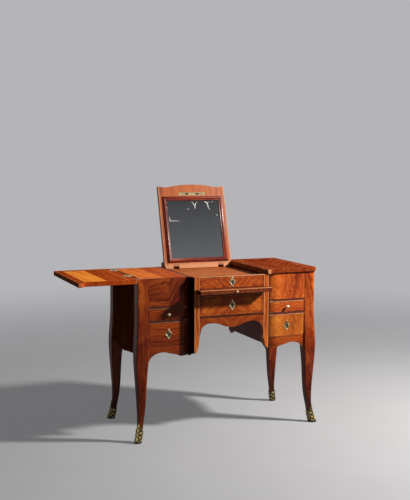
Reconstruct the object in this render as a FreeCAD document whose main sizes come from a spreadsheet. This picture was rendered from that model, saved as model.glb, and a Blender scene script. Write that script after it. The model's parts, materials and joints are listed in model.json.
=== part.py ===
import FreeCAD, Part
import math
import os
import Sketcher

# A poudreuse: a small dressing table with a hinged mirror between two folding flaps.
# Millimetres, +Z up, the front towards -Y. The origin lies on the floor below the
# middle of the case. The left flap is stored open, the right one closed, the mirror
# raised and the writing slide drawn a little.

# A drop is measured down from the rim.
SIZES = {
    # The case, whose middle stands forward of its two bays
    "case_width": 880,
    "case_depth": 415,
    "rim_height": 730,
    "breakfront": 30,
    "bay_edge": 203,
    "centre_edge": 183,
    "stile_inner": 160,
    "wall_thick": 18,
    "side_thick": 20,
    "side_inset": 2,
    "back_thick": 16,
    "back_inset": 2,
    "front_thick": 16,
    "board_thick": 8,
    "side_drop": 354,
    "wall_drop": 333,
    # The legs and their brass shoes
    "post_width": 52,
    "post_depth": 47,
    "knee_drop": 300,
    "cutter": 160,
    # The bays
    "apron_drop": 354,
    "bay_drop": 303,
    "small_drop": 189,
    "middle_rail": 8,
    "well_drop": 127,
    "apron_run": 36,
    "turn_width": 46,
    "turn_depth": 11,
    # The middle
    "centre_drop": 179,
    "centre_apron_drop": 187,
    "arch_end_drop": 290,
    "arch_high_drop": 211,
    "lobe_drop": 233,
    "stile_foot_drop": 338,
    "stile_foot_inner": 173,
    "slide_drop": 74.5,
    "slide_thick": 20,
    "slide_half": 174,
    "slide_room": 15,
    "slide_drawn": 48,
    "slide_band": 18,
    "rail_thick": 12,
    "recess_depth": 10,
    "board_setback": 6,
    # The drawers
    "drawer_room": 55,
    "drawer_wall": 8,
    "drawer_bottom": 5,
    "tray_drop": 9,
    "reveal": 0.5,
    "play": 0.3,
    "guide_width": 11,
    "guide_height": 10,
    # The flaps
    "flap_thick": 20,
    "flap_gap": 0.3,
    "flap_inner": 178,
    "flap_overhang": 8,
    "flap_side": 4,
    "centre_overhang": 5,
    "flap_round": 2.5,
    "hinge_length": 36,
    "hinge_plate": 1.5,
    "hinge_leaf": 18,
    "hinge_knuckle": 3,
    "hinge_pin": 1.2,
    "hinge_inset_back": 71.5,
    "hinge_inset_front": 132.5,
    "pin_play": 0.1,
    # The cover over the left well
    "cover_thick": 8,
    "ledge": 8,
    # The raised mirror
    "mirror_half": 175.7,
    "mirror_setback": 40.8,
    "mirror_margin": 11.7,
    "mirror_dip": 4,
    "mirror_crown": 8,
    "mirror_corner": 16,
    "frame_half": 159,
    "frame_start": 14.5,
    "frame_head": 53,
    "frame_width": 21,
    "frame_rise": 7,
    "frame_round": 4,
    "glass_lap": 3,
    "glass_thick": 3,
    "plate_half": 72,
    "plate_head": 48,
    "plate_tall": 17,
    "plate_thick": 1.5,
    "mirror_hinge_place": 118,
    "mirror_hinge_width": 30,
    "mirror_knuckle": 4.5,
    "mirror_strap": 2,
    # Brass on the drawers
    "escutcheon_half": 17,
    "escutcheon_tall": 23,
    "escutcheon_thick": 1.5,
    "escutcheon_bar": 4,
    "keyhole_round": 2.6,
    "keyhole_slot": 1.3,
    "keyhole_drop": 8,
    "knob_radius": 7,
    "knob_length": 15,
    "slide_knob_radius": 4.5,
    "slide_knob_length": 10,
    "lock_half": 24,
    "lock_tall": 22,
    "lock_thick": 8,
    "lock_drop": 3,
    # How far a cut runs past what it cuts
    "overrun": 2,
}

MIRROR_LEAN = 15.3
SHOE_SLOPE = 35.0

# Down a leg: the height as a share of the knee's, then how far the outer face stands
# beyond the case and how wide the leg is, as shares of the post.
LEG_SHARES = [
    (1.0, 0.0, 1.0),
    (0.942, 0.115, 1.096),
    (0.86, 0.144, 1.096),
    (0.767, 0.096, 0.99),
    (0.605, 0.0, 0.808),
    (0.453, -0.077, 0.683),
    (0.302, -0.115, 0.545),
    (0.198, -0.08, 0.45),
    (0.093, 0.015, 0.42),
]

# The same for a brass shoe, whose toe turns out over the floor, and last how much of
# its width is cut off the two corners beside the toe.
SHOE_SHARES = [
    (0.256, -0.08, 0.535, 0.06),
    (0.198, -0.06, 0.49, 0.08),
    (0.14, 0.0, 0.475, 0.14),
    (0.088, 0.085, 0.49, 0.22),
    (0.047, 0.22, 0.55, 0.3),
    (0.021, 0.345, 0.64, 0.34),
    (0.0, 0.36, 0.655, 0.34),
]

BEVEL_SHARE = 0.04
SHOE_HEIGHT_SHARE = 0.1628
ROUNDING = 1e-3
DIAGONAL_SHARE = 1 - math.sqrt(0.5)

# Where each plane's normal points along the axis that it looks down.
NORMALS = {"XY_Plane": 1, "XZ_Plane": -1, "YZ_Plane": 1}

doc = FreeCAD.newDocument("poudreuse")
pieces = []


class Size:
    """A length or share that knows its value and the sheet expression that gives it."""

    def __init__(self, value, text):
        self.value = value
        self.text = text

    def __add__(self, other):
        other = as_size(other)
        return Size(self.value + other.value, f"({self.text} + {other.text})")

    def __sub__(self, other):
        other = as_size(other)
        return Size(self.value - other.value, f"({self.text} - {other.text})")

    def __mul__(self, other):
        other = as_size(other)
        return Size(self.value * other.value, f"({self.text} * {other.text})")

    def __truediv__(self, other):
        other = as_size(other)
        return Size(self.value / other.value, f"({self.text} / {other.text})")

    def __neg__(self):
        return self * -1

    def root(self):
        return Size(math.sqrt(self.value), f"sqrt({self.text})")

    def __radd__(self, other):
        return as_size(other) + self

    def __rsub__(self, other):
        return as_size(other) - self

    def __rmul__(self, other):
        return self * other


def as_size(number):
    """Gives a plain number as a Size, and a Size as it is."""
    if isinstance(number, Size):
        return number
    return Size(float(number), f"({float(number):.6f})")


def make_sheet():
    """Writes the driving dimensions into the document's spreadsheet."""
    sheet = doc.addObject("Spreadsheet::Sheet", "sizes")
    for row, (name, value) in enumerate(SIZES.items(), start=1):
        sheet.set(f"A{row}", name)
        sheet.set(f"B{row}", str(value))
        sheet.setAlias(f"B{row}", name)
    doc.recompute()


make_sheet()
size = {name: Size(value, f"sizes.{name}") for name, value in SIZES.items()}

# Levels and planes that several pieces share
half_width = size["case_width"] / 2
half_depth = size["case_depth"] / 2
rim = size["rim_height"]
side_low = rim - size["side_drop"]
wall_low = rim - size["wall_drop"]
knee_height = rim - size["knee_drop"]
apron_low = rim - size["apron_drop"]
bay_floor = rim - size["bay_drop"]
small_floor = rim - size["small_drop"]
well_floor = rim - size["well_drop"]
centre_floor = rim - size["centre_drop"]
centre_apron_top = rim - size["centre_apron_drop"]
arch_end = rim - size["arch_end_drop"]
arch_high = rim - size["arch_high_drop"]
lobe_low = rim - size["lobe_drop"]
stile_foot = rim - size["stile_foot_drop"]
slide_floor = rim - size["slide_drop"]
shoe_height = knee_height * SHOE_HEIGHT_SHARE
bay_front = -half_depth
centre_front = -half_depth - size["breakfront"]
post_inner = half_width - size["post_width"]
post_back = half_depth - size["post_depth"]
side_outer = half_width - size["side_inset"]
side_inner = side_outer - size["side_thick"]
back_outer = half_depth - size["back_inset"]
back_inner = back_outer - size["back_thick"]
bay_edge = size["bay_edge"]
wall_inner = bay_edge - size["wall_thick"]
bay_back_of_front = bay_front + size["front_thick"]
centre_back_of_front = centre_front + size["front_thick"]
stile_back = bay_front + size["overrun"]
overrun = size["overrun"]
play = size["play"]
reveal = size["reveal"]
small_rail_top = small_floor
small_rail_bottom = small_rail_top - size["middle_rail"]
well_board_bottom = well_floor - size["board_thick"]
cover_top = rim - play
cover_seat = cover_top - size["cover_thick"]
slide_top = slide_floor + size["slide_thick"]
top_board_bottom = slide_top + play
top_board_top = top_board_bottom + size["board_thick"]
slide_rail_top = slide_floor - play
slide_rail_bottom = slide_rail_top - size["rail_thick"]
recess_floor_top = rim - size["recess_depth"]
recess_floor_bottom = recess_floor_top - size["board_thick"]
flap_bottom = rim + size["flap_gap"]
flap_top = flap_bottom + size["flap_thick"]
hinge_level = rim + size["flap_gap"] / 2
hinge_side = half_width + size["flap_side"]
flap_front = bay_front - size["flap_overhang"]
flap_centre_front = centre_front - size["centre_overhang"]
flap_back = half_depth + size["flap_overhang"]
mirror_radius = (flap_top - recess_floor_top - play) / 2
mirror_face = size["flap_thick"] - mirror_radius
lean_sine = math.sin(math.radians(MIRROR_LEAN))
lean_cosine = math.cos(math.radians(MIRROR_LEAN))
mirror_pivot = half_depth - size["mirror_setback"]
mirror_level = flap_top - mirror_radius
batten_front = mirror_pivot + mirror_radius / lean_cosine + play
mirror_length = mirror_pivot - flap_centre_front - size["mirror_margin"]
frame_end = mirror_length - size["frame_head"]
plate_start = mirror_length - size["plate_head"]
plate_end = plate_start + size["plate_tall"]
drawer_depth = size["case_depth"] - size["drawer_room"]
slide_depth = size["case_depth"] - size["slide_room"]
hinge_places = (half_depth - size["hinge_inset_back"], size["hinge_inset_front"] - half_depth)


def keep(piece, name):
    """Names a finished sub-part, which is written to a file of that name."""
    piece.Label = name
    pieces.append(piece)
    return piece


def bind(thing, prop, length):
    """Ties one property to the sheet."""
    thing.setExpression(prop, length.text)


def box(name, x, y, z):
    """A board from the low and high bounds that it has along each axis."""
    board = doc.addObject("Part::Box", name)
    for prop, axis, (low, high) in (("Length", "x", x), ("Width", "y", y), ("Height", "z", z)):
        bind(board, prop, as_size(high) - low)
        bind(board, f"Placement.Base.{axis}", as_size(low))
    return board


def cylinder_along(name, axis, start, length, radius, across, level):
    """A round bar along X or Y, at the other horizontal place and height given."""
    bar = doc.addObject("Part::Cylinder", name)
    bind(bar, "Radius", as_size(radius))
    bind(bar, "Height", as_size(length))
    if axis == "x":
        bar.Placement.Rotation = FreeCAD.Rotation(FreeCAD.Vector(0, 1, 0), 90)
        bind(bar, "Placement.Base.x", as_size(start))
        bind(bar, "Placement.Base.y", as_size(across))
    else:
        bar.Placement.Rotation = FreeCAD.Rotation(FreeCAD.Vector(1, 0, 0), -90)
        bind(bar, "Placement.Base.y", as_size(start))
        bind(bar, "Placement.Base.x", as_size(across))
    bind(bar, "Placement.Base.z", as_size(level))
    return bar


def mirrored(side, low, high):
    """The bounds of something on the right side, or of its twin on the left."""
    if side > 0:
        return low, high
    return -high, -low


def group(name, members):
    """Several separate solids that share one node."""
    compound = doc.addObject("Part::Compound", name)
    compound.Links = members
    return keep(compound, name)


def cut(name, base, tool):
    """One solid less another."""
    result = doc.addObject("Part::Cut", name)
    result.Base = base
    result.Tool = tool
    return result


def fuse(name, members):
    """Several solids joined into one."""
    result = doc.addObject("Part::MultiFuse", name)
    result.Shapes = members
    return result


def new_body(name):
    """An empty body."""
    return doc.addObject("PartDesign::Body", name)


def origin_plane(body, role):
    """One of a body's own origin planes."""
    return next(plane for plane in body.Origin.OriginFeatures if plane.Role == role)


def new_sketch(body, name, role, level):
    """A sketch on an origin plane, moved to a level along the axis it looks down."""
    sketch = body.newObject("Sketcher::SketchObject", name)
    sketch.AttachmentSupport = [(origin_plane(body, role), "")]
    sketch.MapMode = "FlatFace"
    bind(sketch, ".AttachmentOffset.Base.z", as_size(level) * NORMALS[role])
    return sketch


def flat_point(point):
    """A point of an outline as a vector in its sketch."""
    return FreeCAD.Vector(as_size(point[0]).value, as_size(point[1]).value, 0)


def pin(sketch, direction, geometry, position, length):
    """Ties one coordinate of a sketch point to the sheet: 0 across, 1 up."""
    rule = Sketcher.Constraint(("DistanceX", "DistanceY")[direction], -1, 1, geometry, position,
                               length.value)
    index = sketch.addConstraint(rule)
    sketch.setExpression(f"Constraints[{index}]", length.text)


def arc_centre(start, via, end):
    """The centre of the arc from one point through another to a third."""
    middle = [as_size(via[axis]) - start[axis] for axis in (0, 1)]
    far = [as_size(end[axis]) - start[axis] for axis in (0, 1)]
    middle_square = middle[0] * middle[0] + middle[1] * middle[1]
    far_square = far[0] * far[0] + far[1] * far[1]
    twice = (middle[0] * far[1] - middle[1] * far[0]) * 2
    across = (far[1] * middle_square - middle[1] * far_square) / twice
    up = (middle[0] * far_square - far[0] * middle_square) / twice
    return (start[0] + across, start[1] + up), 1 if abs(far[0].value) > abs(far[1].value) else 0


def draw_outline(sketch, points):
    """Draws a closed outline. A point marked via makes the edge that it lies on an arc."""
    corners = [point for point in points if len(point) == 2]
    through = {}
    seen = 0
    for point in points:
        if len(point) == 2:
            seen += 1
        else:
            through[seen - 1] = point
    edges = []
    for index, corner in enumerate(corners):
        start = flat_point(corner)
        end = flat_point(corners[(index + 1) % len(corners)])
        forward = True
        if index in through:
            via = flat_point(through[index])
            forward = (via - start).cross(end - via).z > 0
            edge = Part.Arc(start, via, end) if forward else Part.Arc(end, via, start)
        else:
            edge = Part.LineSegment(start, end)
        geometry = sketch.addGeometry(edge, False)
        edges.append((geometry, 1 if forward else 2, 2 if forward else 1))
    for index, (geometry, start, end) in enumerate(edges):
        follower, follower_start, _ = edges[(index + 1) % len(edges)]
        sketch.addConstraint(Sketcher.Constraint("Coincident", geometry, end, follower, follower_start))
        for direction in (0, 1):
            pin(sketch, direction, geometry, start, as_size(corners[index][direction]))
    for index, point in through.items():
        centre, direction = arc_centre(corners[index], point, corners[(index + 1) % len(corners)])
        pin(sketch, direction, edges[index][0], 3, centre[direction])


def pad(body, name, role, start, thickness, points, inner=None):
    """Extrudes an outline from a level towards the plane axis's positive end."""
    sketch = new_sketch(body, f"{name}_outline", role, start)
    draw_outline(sketch, points)
    if inner:
        draw_outline(sketch, inner)
    feature = body.newObject("PartDesign::Pad", name)
    feature.Profile = sketch
    bind(feature, "Length", as_size(thickness))
    feature.Reversed = NORMALS[role] < 0
    return feature


def pocket(body, name, role, start, depth, points):
    """Cuts an outline away from a level towards the plane axis's positive end."""
    sketch = new_sketch(body, f"{name}_outline", role, start)
    draw_outline(sketch, points)
    feature = body.newObject("PartDesign::Pocket", name)
    feature.Profile = sketch
    bind(feature, "Length", as_size(depth))
    feature.Reversed = NORMALS[role] > 0
    return feature


def rectangle(u, v):
    """The four corners of a rectangle from its bounds."""
    return [(u[0], v[0]), (u[1], v[0]), (u[1], v[1]), (u[0], v[1])]


def turn_back(body, name, side, front, low, high):
    """Rounds the inner end of a bay's front away, in plan, towards the kneehole."""
    run = size["turn_width"]
    drop = size["turn_depth"]
    pocket(body, f"{name}_turn", "XY_Plane", low - overrun, high - low + overrun * 2, [
        ((bay_edge - overrun) * side, front - overrun),
        ((bay_edge + run) * side, front - overrun),
        ((bay_edge + run) * side, front),
        ((bay_edge + run / 2) * side, front + drop / 4, "via"),
        (bay_edge * side, front + drop),
        ((bay_edge - overrun) * side, front + drop),
    ])


def near(place, length):
    """Whether a measured place lies at a length, but for rounding."""
    return abs(place - length.value) < ROUNDING


def fillet_edges(body, name, radius, chosen):
    """Rounds the edges of a body whose middle point passes a test."""
    doc.recompute()
    base = body.Tip
    names = []
    for index, edge in enumerate(base.Shape.Edges, start=1):
        middle = edge.valueAt((edge.FirstParameter + edge.LastParameter) / 2)
        if chosen(middle):
            names.append(f"Edge{index}")
    feature = body.newObject("PartDesign::Fillet", name)
    feature.Base = (base, names)
    bind(feature, "Radius", as_size(radius))
    return feature


def leg_section(body, name, level, x, y, even, odd):
    """A rectangular section as one sketch. Two opposite corners have equal bevels."""
    sketch = new_sketch(body, name, "XY_Plane", level)
    draw_outline(sketch, [
        (x[0] + even, y[0]),
        (x[1] - odd, y[0]),
        (x[1], y[0] + odd),
        (x[1], y[1] - even),
        (x[1] - even, y[1]),
        (x[0] + odd, y[1]),
        (x[0], y[1] - odd),
        (x[0], y[0] + even),
    ])
    return sketch


def station(side, end, shares):
    """The height, bounds and bevels of one section of a leg, at a corner of the case."""
    height_share, out_share, width_share, *cut_share = shares
    outer_x = half_width + size["post_width"] * out_share
    outer_y = half_depth + size["post_depth"] * out_share
    inner_x = outer_x - size["post_width"] * width_share
    inner_y = outer_y - size["post_depth"] * width_share
    level = knee_height * height_share
    along = size["post_depth"] * (width_share * BEVEL_SHARE)
    across = size["post_depth"] * (width_share * (cut_share[0] if cut_share else BEVEL_SHARE))
    even, odd = (along, across) if side == end else (across, along)
    return level, mirrored(side, inner_x, outer_x), mirrored(end, inner_y, outer_y), even, odd


def loft_down(body, name, side, end, table):
    """A smooth loft through the sections of a table of shares."""
    sections = []
    for number, shares in enumerate(table):
        sections.append(leg_section(body, f"{name}_section_{number}", *station(side, end, shares)))
    feature = body.newObject("PartDesign::AdditiveLoft", name)
    feature.Profile = sections[0]
    feature.Sections = sections[1:]
    return feature


def shoe_cutter(name, side, end, above):
    """A block on one side of the slanted joint between a leg and its brass shoe."""
    turn = FreeCAD.Rotation(FreeCAD.Vector(end, -side, 0), SHOE_SLOPE)
    block = doc.addObject("Part::Box", name)
    for prop in ("Length", "Width", "Height"):
        bind(block, prop, size["cutter"])
    block.Placement.Rotation = turn
    corner = turn.multVec(FreeCAD.Vector(0.5, 0.5, 0 if above else 1))
    middle_x = (half_width - size["post_width"] * 0.3) * side
    middle_y = (half_depth - size["post_depth"] * 0.3) * end
    bind(block, "Placement.Base.x", middle_x - size["cutter"] * corner.x)
    bind(block, "Placement.Base.y", middle_y - size["cutter"] * corner.y)
    bind(block, "Placement.Base.z", shoe_height - size["cutter"] * corner.z)
    return block


def make_leg(place, side, end):
    """A corner post that runs down into a curved leg, and the brass shoe on its foot."""
    body = new_body(f"leg_{place}_wood")
    knee = station(side, end, LEG_SHARES[0])
    post = body.newObject("PartDesign::Pad", f"post_{place}")
    post.Profile = leg_section(body, f"post_{place}_section", *knee)
    bind(post, "Length", rim - knee[0])
    loft_down(body, f"leg_{place}_curve", side, end, LEG_SHARES)
    seat_x = mirrored(side, post_inner - overrun, side_inner)
    seat_y = mirrored(end, post_back - overrun, back_inner if end > 0 else -bay_back_of_front)
    pocket(body, f"leg_{place}_seat", "XY_Plane", cover_seat, rim - cover_seat + overrun,
           rectangle(seat_x, seat_y))
    keep(cut(f"leg_{place}", body, shoe_cutter(f"leg_{place}_end", side, end, False)), f"leg_{place}")
    shoe = new_body(f"shoe_{place}_whole")
    loft_down(shoe, f"shoe_{place}_curve", side, end, SHOE_SHARES)
    keep(cut(f"sabot_{place}", shoe, shoe_cutter(f"shoe_{place}_end", side, end, True)),
         f"sabot_{place}")


def make_side_panel(place, side):
    """An end of the case between two posts, with a shallow curve along its lower edge."""
    low = side_low
    rise = size["post_width"] * 0.3
    x = mirrored(side, side_inner, side_outer)
    body = new_body(f"side_panel_{place}")
    pad(body, f"side_{place}", "YZ_Plane", x[0], size["side_thick"], [
        (-post_back, low + rise),
        (-post_back * 0.5, low + rise * 0.62, "via"),
        (0, low),
        (post_back * 0.5, low + rise * 0.62, "via"),
        (post_back, low + rise),
        (post_back, rim),
        (-post_back, rim),
    ])
    for number, middle in enumerate(hinge_places):
        half = size["hinge_length"] / 2 + play
        leaf_x = mirrored(side, hinge_side - size["hinge_leaf"] - size["flap_side"] - play,
                          half_width + overrun)
        pocket(body, f"side_{place}_hinge_bed_{number}", "XY_Plane", rim - size["hinge_plate"],
               size["hinge_plate"] + overrun, rectangle(leaf_x, (middle - half, middle + half)))
    keep(body, f"side_panel_{place}")


def make_back_panel():
    """The back, arched between the two bays."""
    low = wall_low
    arch_x = wall_inner
    body = new_body("back_panel")
    pad(body, "back", "XZ_Plane", back_inner, size["back_thick"], [
        (-post_inner, low),
        (-arch_x, low - overrun * 4),
        (-arch_x * 0.82, low + (arch_high - low) * 0.66, "via"),
        (-arch_x * 0.5, arch_high - overrun * 4),
        (0, arch_high, "via"),
        (arch_x * 0.5, arch_high - overrun * 4),
        (arch_x * 0.82, low + (arch_high - low) * 0.66, "via"),
        (arch_x, low - overrun * 4),
        (post_inner, low),
        (post_inner, rim),
        (-post_inner, rim),
    ])
    keep(body, "back_panel")


def make_kneehole_side(place, side):
    """A wall of the kneehole, from the front stile to the back, curved along its foot."""
    low = wall_low
    depth = back_inner - stile_back
    body = new_body(f"kneehole_side_{place}")
    x = mirrored(side, wall_inner, bay_edge)
    pad(body, f"kneehole_{place}", "YZ_Plane", x[0], size["wall_thick"], [
        (stile_back, apron_low),
        (stile_back + depth * 0.06, low - size["wall_thick"] * 0.35, "via"),
        (stile_back + depth * 0.18, low),
        (stile_back + depth * 0.82, low),
        (stile_back + depth * 0.93, low - size["wall_thick"] * 0.3, "via"),
        (back_inner, apron_low + overrun),
        (back_inner, rim),
        (stile_back, rim),
    ])
    keep(body, f"kneehole_side_{place}")


def make_stile(place, side):
    """The upright beside the middle drawers. Its return is hollowed back to the bay."""
    body = new_body(f"centre_stile_{place}")
    edge = size["centre_edge"]
    inner = size["stile_inner"]
    foot = apron_low
    middle_x = (edge + bay_edge) / 2 - size["breakfront"] * 0.15
    middle_y = (centre_front + bay_front) / 2 + size["breakfront"] * 0.15
    pad(body, f"stile_{place}", "XY_Plane", foot, rim - foot, [
        (inner * side, stile_back),
        (inner * side, centre_front),
        (edge * side, centre_front),
        (middle_x * side, middle_y, "via"),
        (bay_edge * side, bay_front),
        (bay_edge * side, stile_back),
    ])
    front = centre_front - overrun
    through = size["breakfront"] + overrun * 3
    tip = size["stile_foot_inner"]
    pocket(body, f"stile_{place}_foot", "XZ_Plane", front, through, [
        ((inner - overrun) * side, foot - overrun),
        ((bay_edge - overrun) * side, foot - overrun),
        ((bay_edge - overrun) * side, foot),
        (tip * side, stile_foot),
        ((inner + (tip - inner) * 0.4) * side, (arch_end + stile_foot) / 2, "via"),
        (inner * side, arch_end),
        ((inner - overrun) * side, arch_end),
    ])
    pocket(body, f"stile_{place}_slide_slot", "XZ_Plane", front, through, rectangle(
        ((inner - overrun) * side, (size["slide_half"] + reveal) * side),
        (slide_floor - reveal, slide_top + reveal)))
    keep(body, f"centre_stile_{place}")


def make_centre_apron():
    """The arched rail under the lower drawer, with a lobe hanging in its middle."""
    inner = size["stile_inner"]
    high = arch_high
    low = lobe_low
    end = arch_end
    body = new_body("centre_apron")
    right = [
        (inner * 0.295, (high + low) / 2 - (high - low) * 0.05),
        (inner * 0.44, high - (high - low) * 0.17, "via"),
        (inner * 0.625, high),
        (inner * 0.82, high - (high - low) * 0.25, "via"),
        (inner * 0.935, low),
        (inner * 0.98, end + (low - end) * 0.5, "via"),
        (inner, end),
    ]
    left = [(-point[0], *point[1:]) for point in reversed(right)]
    pad(body, "apron_arch", "XZ_Plane", centre_front, size["front_thick"], [
        (-inner, centre_apron_top),
        *left,
        (0, low, "via"),
        *right,
        (inner, centre_apron_top),
    ])
    keep(body, "centre_apron")


def make_bay_apron(place, side):
    """The shaped rail under a bay, low beside the kneehole and curved into the leg."""
    low = apron_low
    rise = size["post_width"] * 0.42
    run = post_inner - bay_edge
    body = new_body(f"bay_apron_{place}")
    pad(body, f"apron_{place}", "XZ_Plane", bay_front, size["front_thick"], [
        (bay_edge * side, bay_floor),
        (bay_edge * side, low),
        ((bay_edge + size["apron_run"]) * side, low),
        ((bay_edge + run * 0.32) * side, low + rise * 0.42, "via"),
        ((bay_edge + run * 0.47) * side, low + rise * 0.68),
        ((bay_edge + run * 0.71) * side, low + rise, "via"),
        ((bay_edge + run * 0.92) * side, low + rise * 0.3),
        ((bay_edge + run * 0.97) * side, low - rise * 0.18, "via"),
        (post_inner * side, low - rise * 0.75),
        (post_inner * side, bay_floor),
    ])
    turn_back(body, f"apron_{place}", side, bay_front, low, bay_floor)
    keep(body, f"bay_apron_{place}")


def bay_board(name, side, front, bounds):
    """A horizontal board of a bay, notched round the two posts."""
    body = new_body(name)
    pad(body, f"{name}_pad", "XY_Plane", bounds[0], bounds[1] - bounds[0], [
        (bay_edge * side, front),
        (post_inner * side, front),
        (post_inner * side, -post_back),
        (side_inner * side, -post_back),
        (side_inner * side, post_back),
        (post_inner * side, post_back),
        (post_inner * side, back_inner),
        (bay_edge * side, back_inner),
    ])
    turn_back(body, name, side, front, bounds[0], bounds[1])
    return body


def make_bay_boards(place, side):
    """A bay's boards under its drawers and well, the drawer guides and the cover's ledge."""
    floor = bay_floor
    members = [
        bay_board(f"bay_{place}_floor", side, bay_back_of_front, (floor - size["board_thick"], floor)),
        bay_board(f"bay_{place}_rail", side, bay_front + reveal, (small_rail_bottom, small_rail_top)),
        bay_board(f"bay_{place}_well_floor", side, bay_front + reveal,
                  (well_board_bottom, well_floor)),
    ]
    guide_x = mirrored(side, post_inner, side_inner)
    for number, level in enumerate((floor, small_rail_top)):
        members.append(box(f"bay_{place}_guide_{number}", guide_x, (-post_back, post_back),
                           (level, level + size["guide_height"])))
    members.append(box(f"bay_{place}_ledge", mirrored(side, bay_edge, bay_edge + size["ledge"]),
                       (bay_back_of_front, back_inner), (cover_seat - size["ledge"], cover_seat)))
    group(f"bay_boards_{place}", members)


def make_false_front(place, side):
    """The veneered board that closes a well to the front, above the drawers."""
    name = f"false_front_{place}"
    body = new_body(name)
    pad(body, f"{name}_pad", "XZ_Plane", bay_front, size["front_thick"],
        rectangle((bay_edge * side, post_inner * side), (well_floor, rim)))
    turn_back(body, name, side, bay_front, well_floor, rim)
    keep(body, name)


def notched_board(name, front, level, thickness):
    """A board across the middle, narrowed between the two stiles."""
    inner = size["stile_inner"]
    back = stile_back
    body = new_body(name)
    pad(body, f"{name}_pad", "XY_Plane", level, thickness, [
        (-wall_inner, back),
        (-inner, back),
        (-inner, front),
        (inner, front),
        (inner, back),
        (wall_inner, back),
        (wall_inner, back_inner),
        (-wall_inner, back_inner),
    ])
    return body


def make_centre_boards():
    """The boards under the lower drawer, the slide and the top drawer, and the guides."""
    setback = size["board_setback"]
    lower = notched_board("centre_lower_board", centre_front + setback,
                          centre_floor - size["board_thick"], size["board_thick"])
    rail = notched_board("centre_slide_rail", centre_front + reveal, slide_rail_bottom,
                         size["rail_thick"])
    upper = notched_board("centre_upper_board", centre_back_of_front + play, top_board_bottom,
                          size["board_thick"])
    members = [lower, rail, upper]
    for level in (centre_floor, top_board_top):
        for side in (-1, 1):
            x = mirrored(side, wall_inner - size["guide_width"] * 2, wall_inner)
            members.append(box(f"centre_guide_{len(members)}", x, (stile_back, post_back),
                               (level, level + size["guide_height"])))
    group("centre_boards", members)


def make_recess_floor():
    """The floor under the folded mirror."""
    keep(notched_board("recess_floor", centre_back_of_front + play, recess_floor_bottom,
                       size["board_thick"]), "recess_floor")


def make_rear_batten():
    """The fixed strip behind the mirror. Its upper front edge stops the raised mirror."""
    front = batten_front
    knee = mirror_level
    stop = mirror_radius * (lean_cosine + (1 + lean_sine) * lean_sine / lean_cosine) + play
    back = flap_back
    body = new_body("rear_batten")
    pad(body, "batten", "YZ_Plane", -size["flap_inner"] + reveal * 4,
        (size["flap_inner"] - reveal * 4) * 2, [
        (front, rim),
        (front, knee),
        (mirror_pivot + stop, flap_top),
        (back, flap_top),
        (back, rim),
    ])
    half = size["mirror_hinge_width"] / 2 + play
    for number, side in enumerate((-1, 1)):
        middle = size["mirror_hinge_place"] * side
        pocket(body, f"batten_hinge_bed_{number}", "XY_Plane", rim - overrun,
               size["flap_thick"] + overrun * 2,
               rectangle((middle - half, middle + half),
                         (front - overrun, front + size["mirror_strap"])))
    keep(body, "rear_batten")


def make_well_cover():
    """The lift-out cover of the left well, flush with the rim."""
    keep(box("well_cover_left", mirrored(-1, bay_edge + play, side_inner - play),
             (bay_back_of_front + play, back_inner - play), (cover_seat, cover_top)),
         "well_cover_left")


def make_drawer(name, x, front, floor, top, tray_x, tray_top, keyhole, side=0):
    """A drawer: a veneered front, and behind it a tray of sides, back and bottom.

    The front of a drawer at one side of the kneehole turns back at its inner end.
    """
    back_of_front = front + size["front_thick"]
    body = new_body(f"{name}_front")
    pad(body, f"{name}_front_pad", "XZ_Plane", front, size["front_thick"],
        rectangle((x[0] + reveal, x[1] - reveal), (floor + reveal, top - reveal)))
    if keyhole:
        middle = (x[0] + x[1]) / 2
        height = (floor + top) / 2
        pocket(body, f"{name}_keyhole", "XZ_Plane", front - overrun,
               size["front_thick"] + overrun * 2, keyhole_outline(middle, height))
    if side:
        turn_back(body, name, side, front, floor, top)
    keep(body, f"{name}_front")
    wall = size["drawer_wall"]
    bottom = floor + play
    outer = box(f"{name}_tray_block", tray_x, (back_of_front, back_of_front + drawer_depth),
                (bottom, tray_top))
    hollow = box(f"{name}_tray_hollow", (tray_x[0] + wall, tray_x[1] - wall),
                 (back_of_front - overrun, back_of_front + drawer_depth - wall),
                 (bottom + size["drawer_bottom"], tray_top + overrun))
    keep(cut(f"{name}_tray", outer, hollow), f"{name}_tray")


def keyhole_outline(middle, height):
    """The round and slot of a keyhole."""
    slot = size["keyhole_slot"]
    neck = size["keyhole_round"] * 0.8
    return [
        (middle - slot, height - neck),
        (middle, height + size["keyhole_round"], "via"),
        (middle + slot, height - neck),
        (middle + slot * 1.3, height - size["keyhole_drop"]),
        (middle - slot * 1.3, height - size["keyhole_drop"]),
    ]


def make_escutcheon(name, middle, front, height):
    """A pierced lozenge of brass round a keyhole."""
    half = size["escutcheon_half"]
    tall = size["escutcheon_tall"]
    bar = size["escutcheon_bar"]
    start = front - size["escutcheon_thick"]
    body = new_body(name)
    pad(body, f"{name}_plate", "XZ_Plane", start, size["escutcheon_thick"], [
        (middle, height + tall),
        (middle + half * 0.38, height + tall * 0.38, "via"),
        (middle + half, height),
        (middle + half * 0.38, height - tall * 0.38, "via"),
        (middle, height - tall),
        (middle - half * 0.38, height - tall * 0.38, "via"),
        (middle - half, height),
        (middle - half * 0.38, height + tall * 0.38, "via"),
    ])
    deep = size["escutcheon_thick"] + overrun * 2
    pocket(body, f"{name}_keyhole", "XZ_Plane", start - overrun, deep,
           keyhole_outline(middle, height))
    for number, (u, v) in enumerate(((1, 1), (1, -1), (-1, -1), (-1, 1))):
        pocket(body, f"{name}_piercing_{number}", "XZ_Plane", start - overrun, deep, [
            (middle + bar * u, height + (tall * 0.5) * v),
            (middle + half * 0.25 * u + bar * 0.2 * u, height + (tall * 0.25) * v, "via"),
            (middle + half * 0.6 * u, height + bar * 0.5 * v),
            (middle + bar * 1.25 * u, height + bar * 0.9 * v),
        ])
    keep(body, name)


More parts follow.
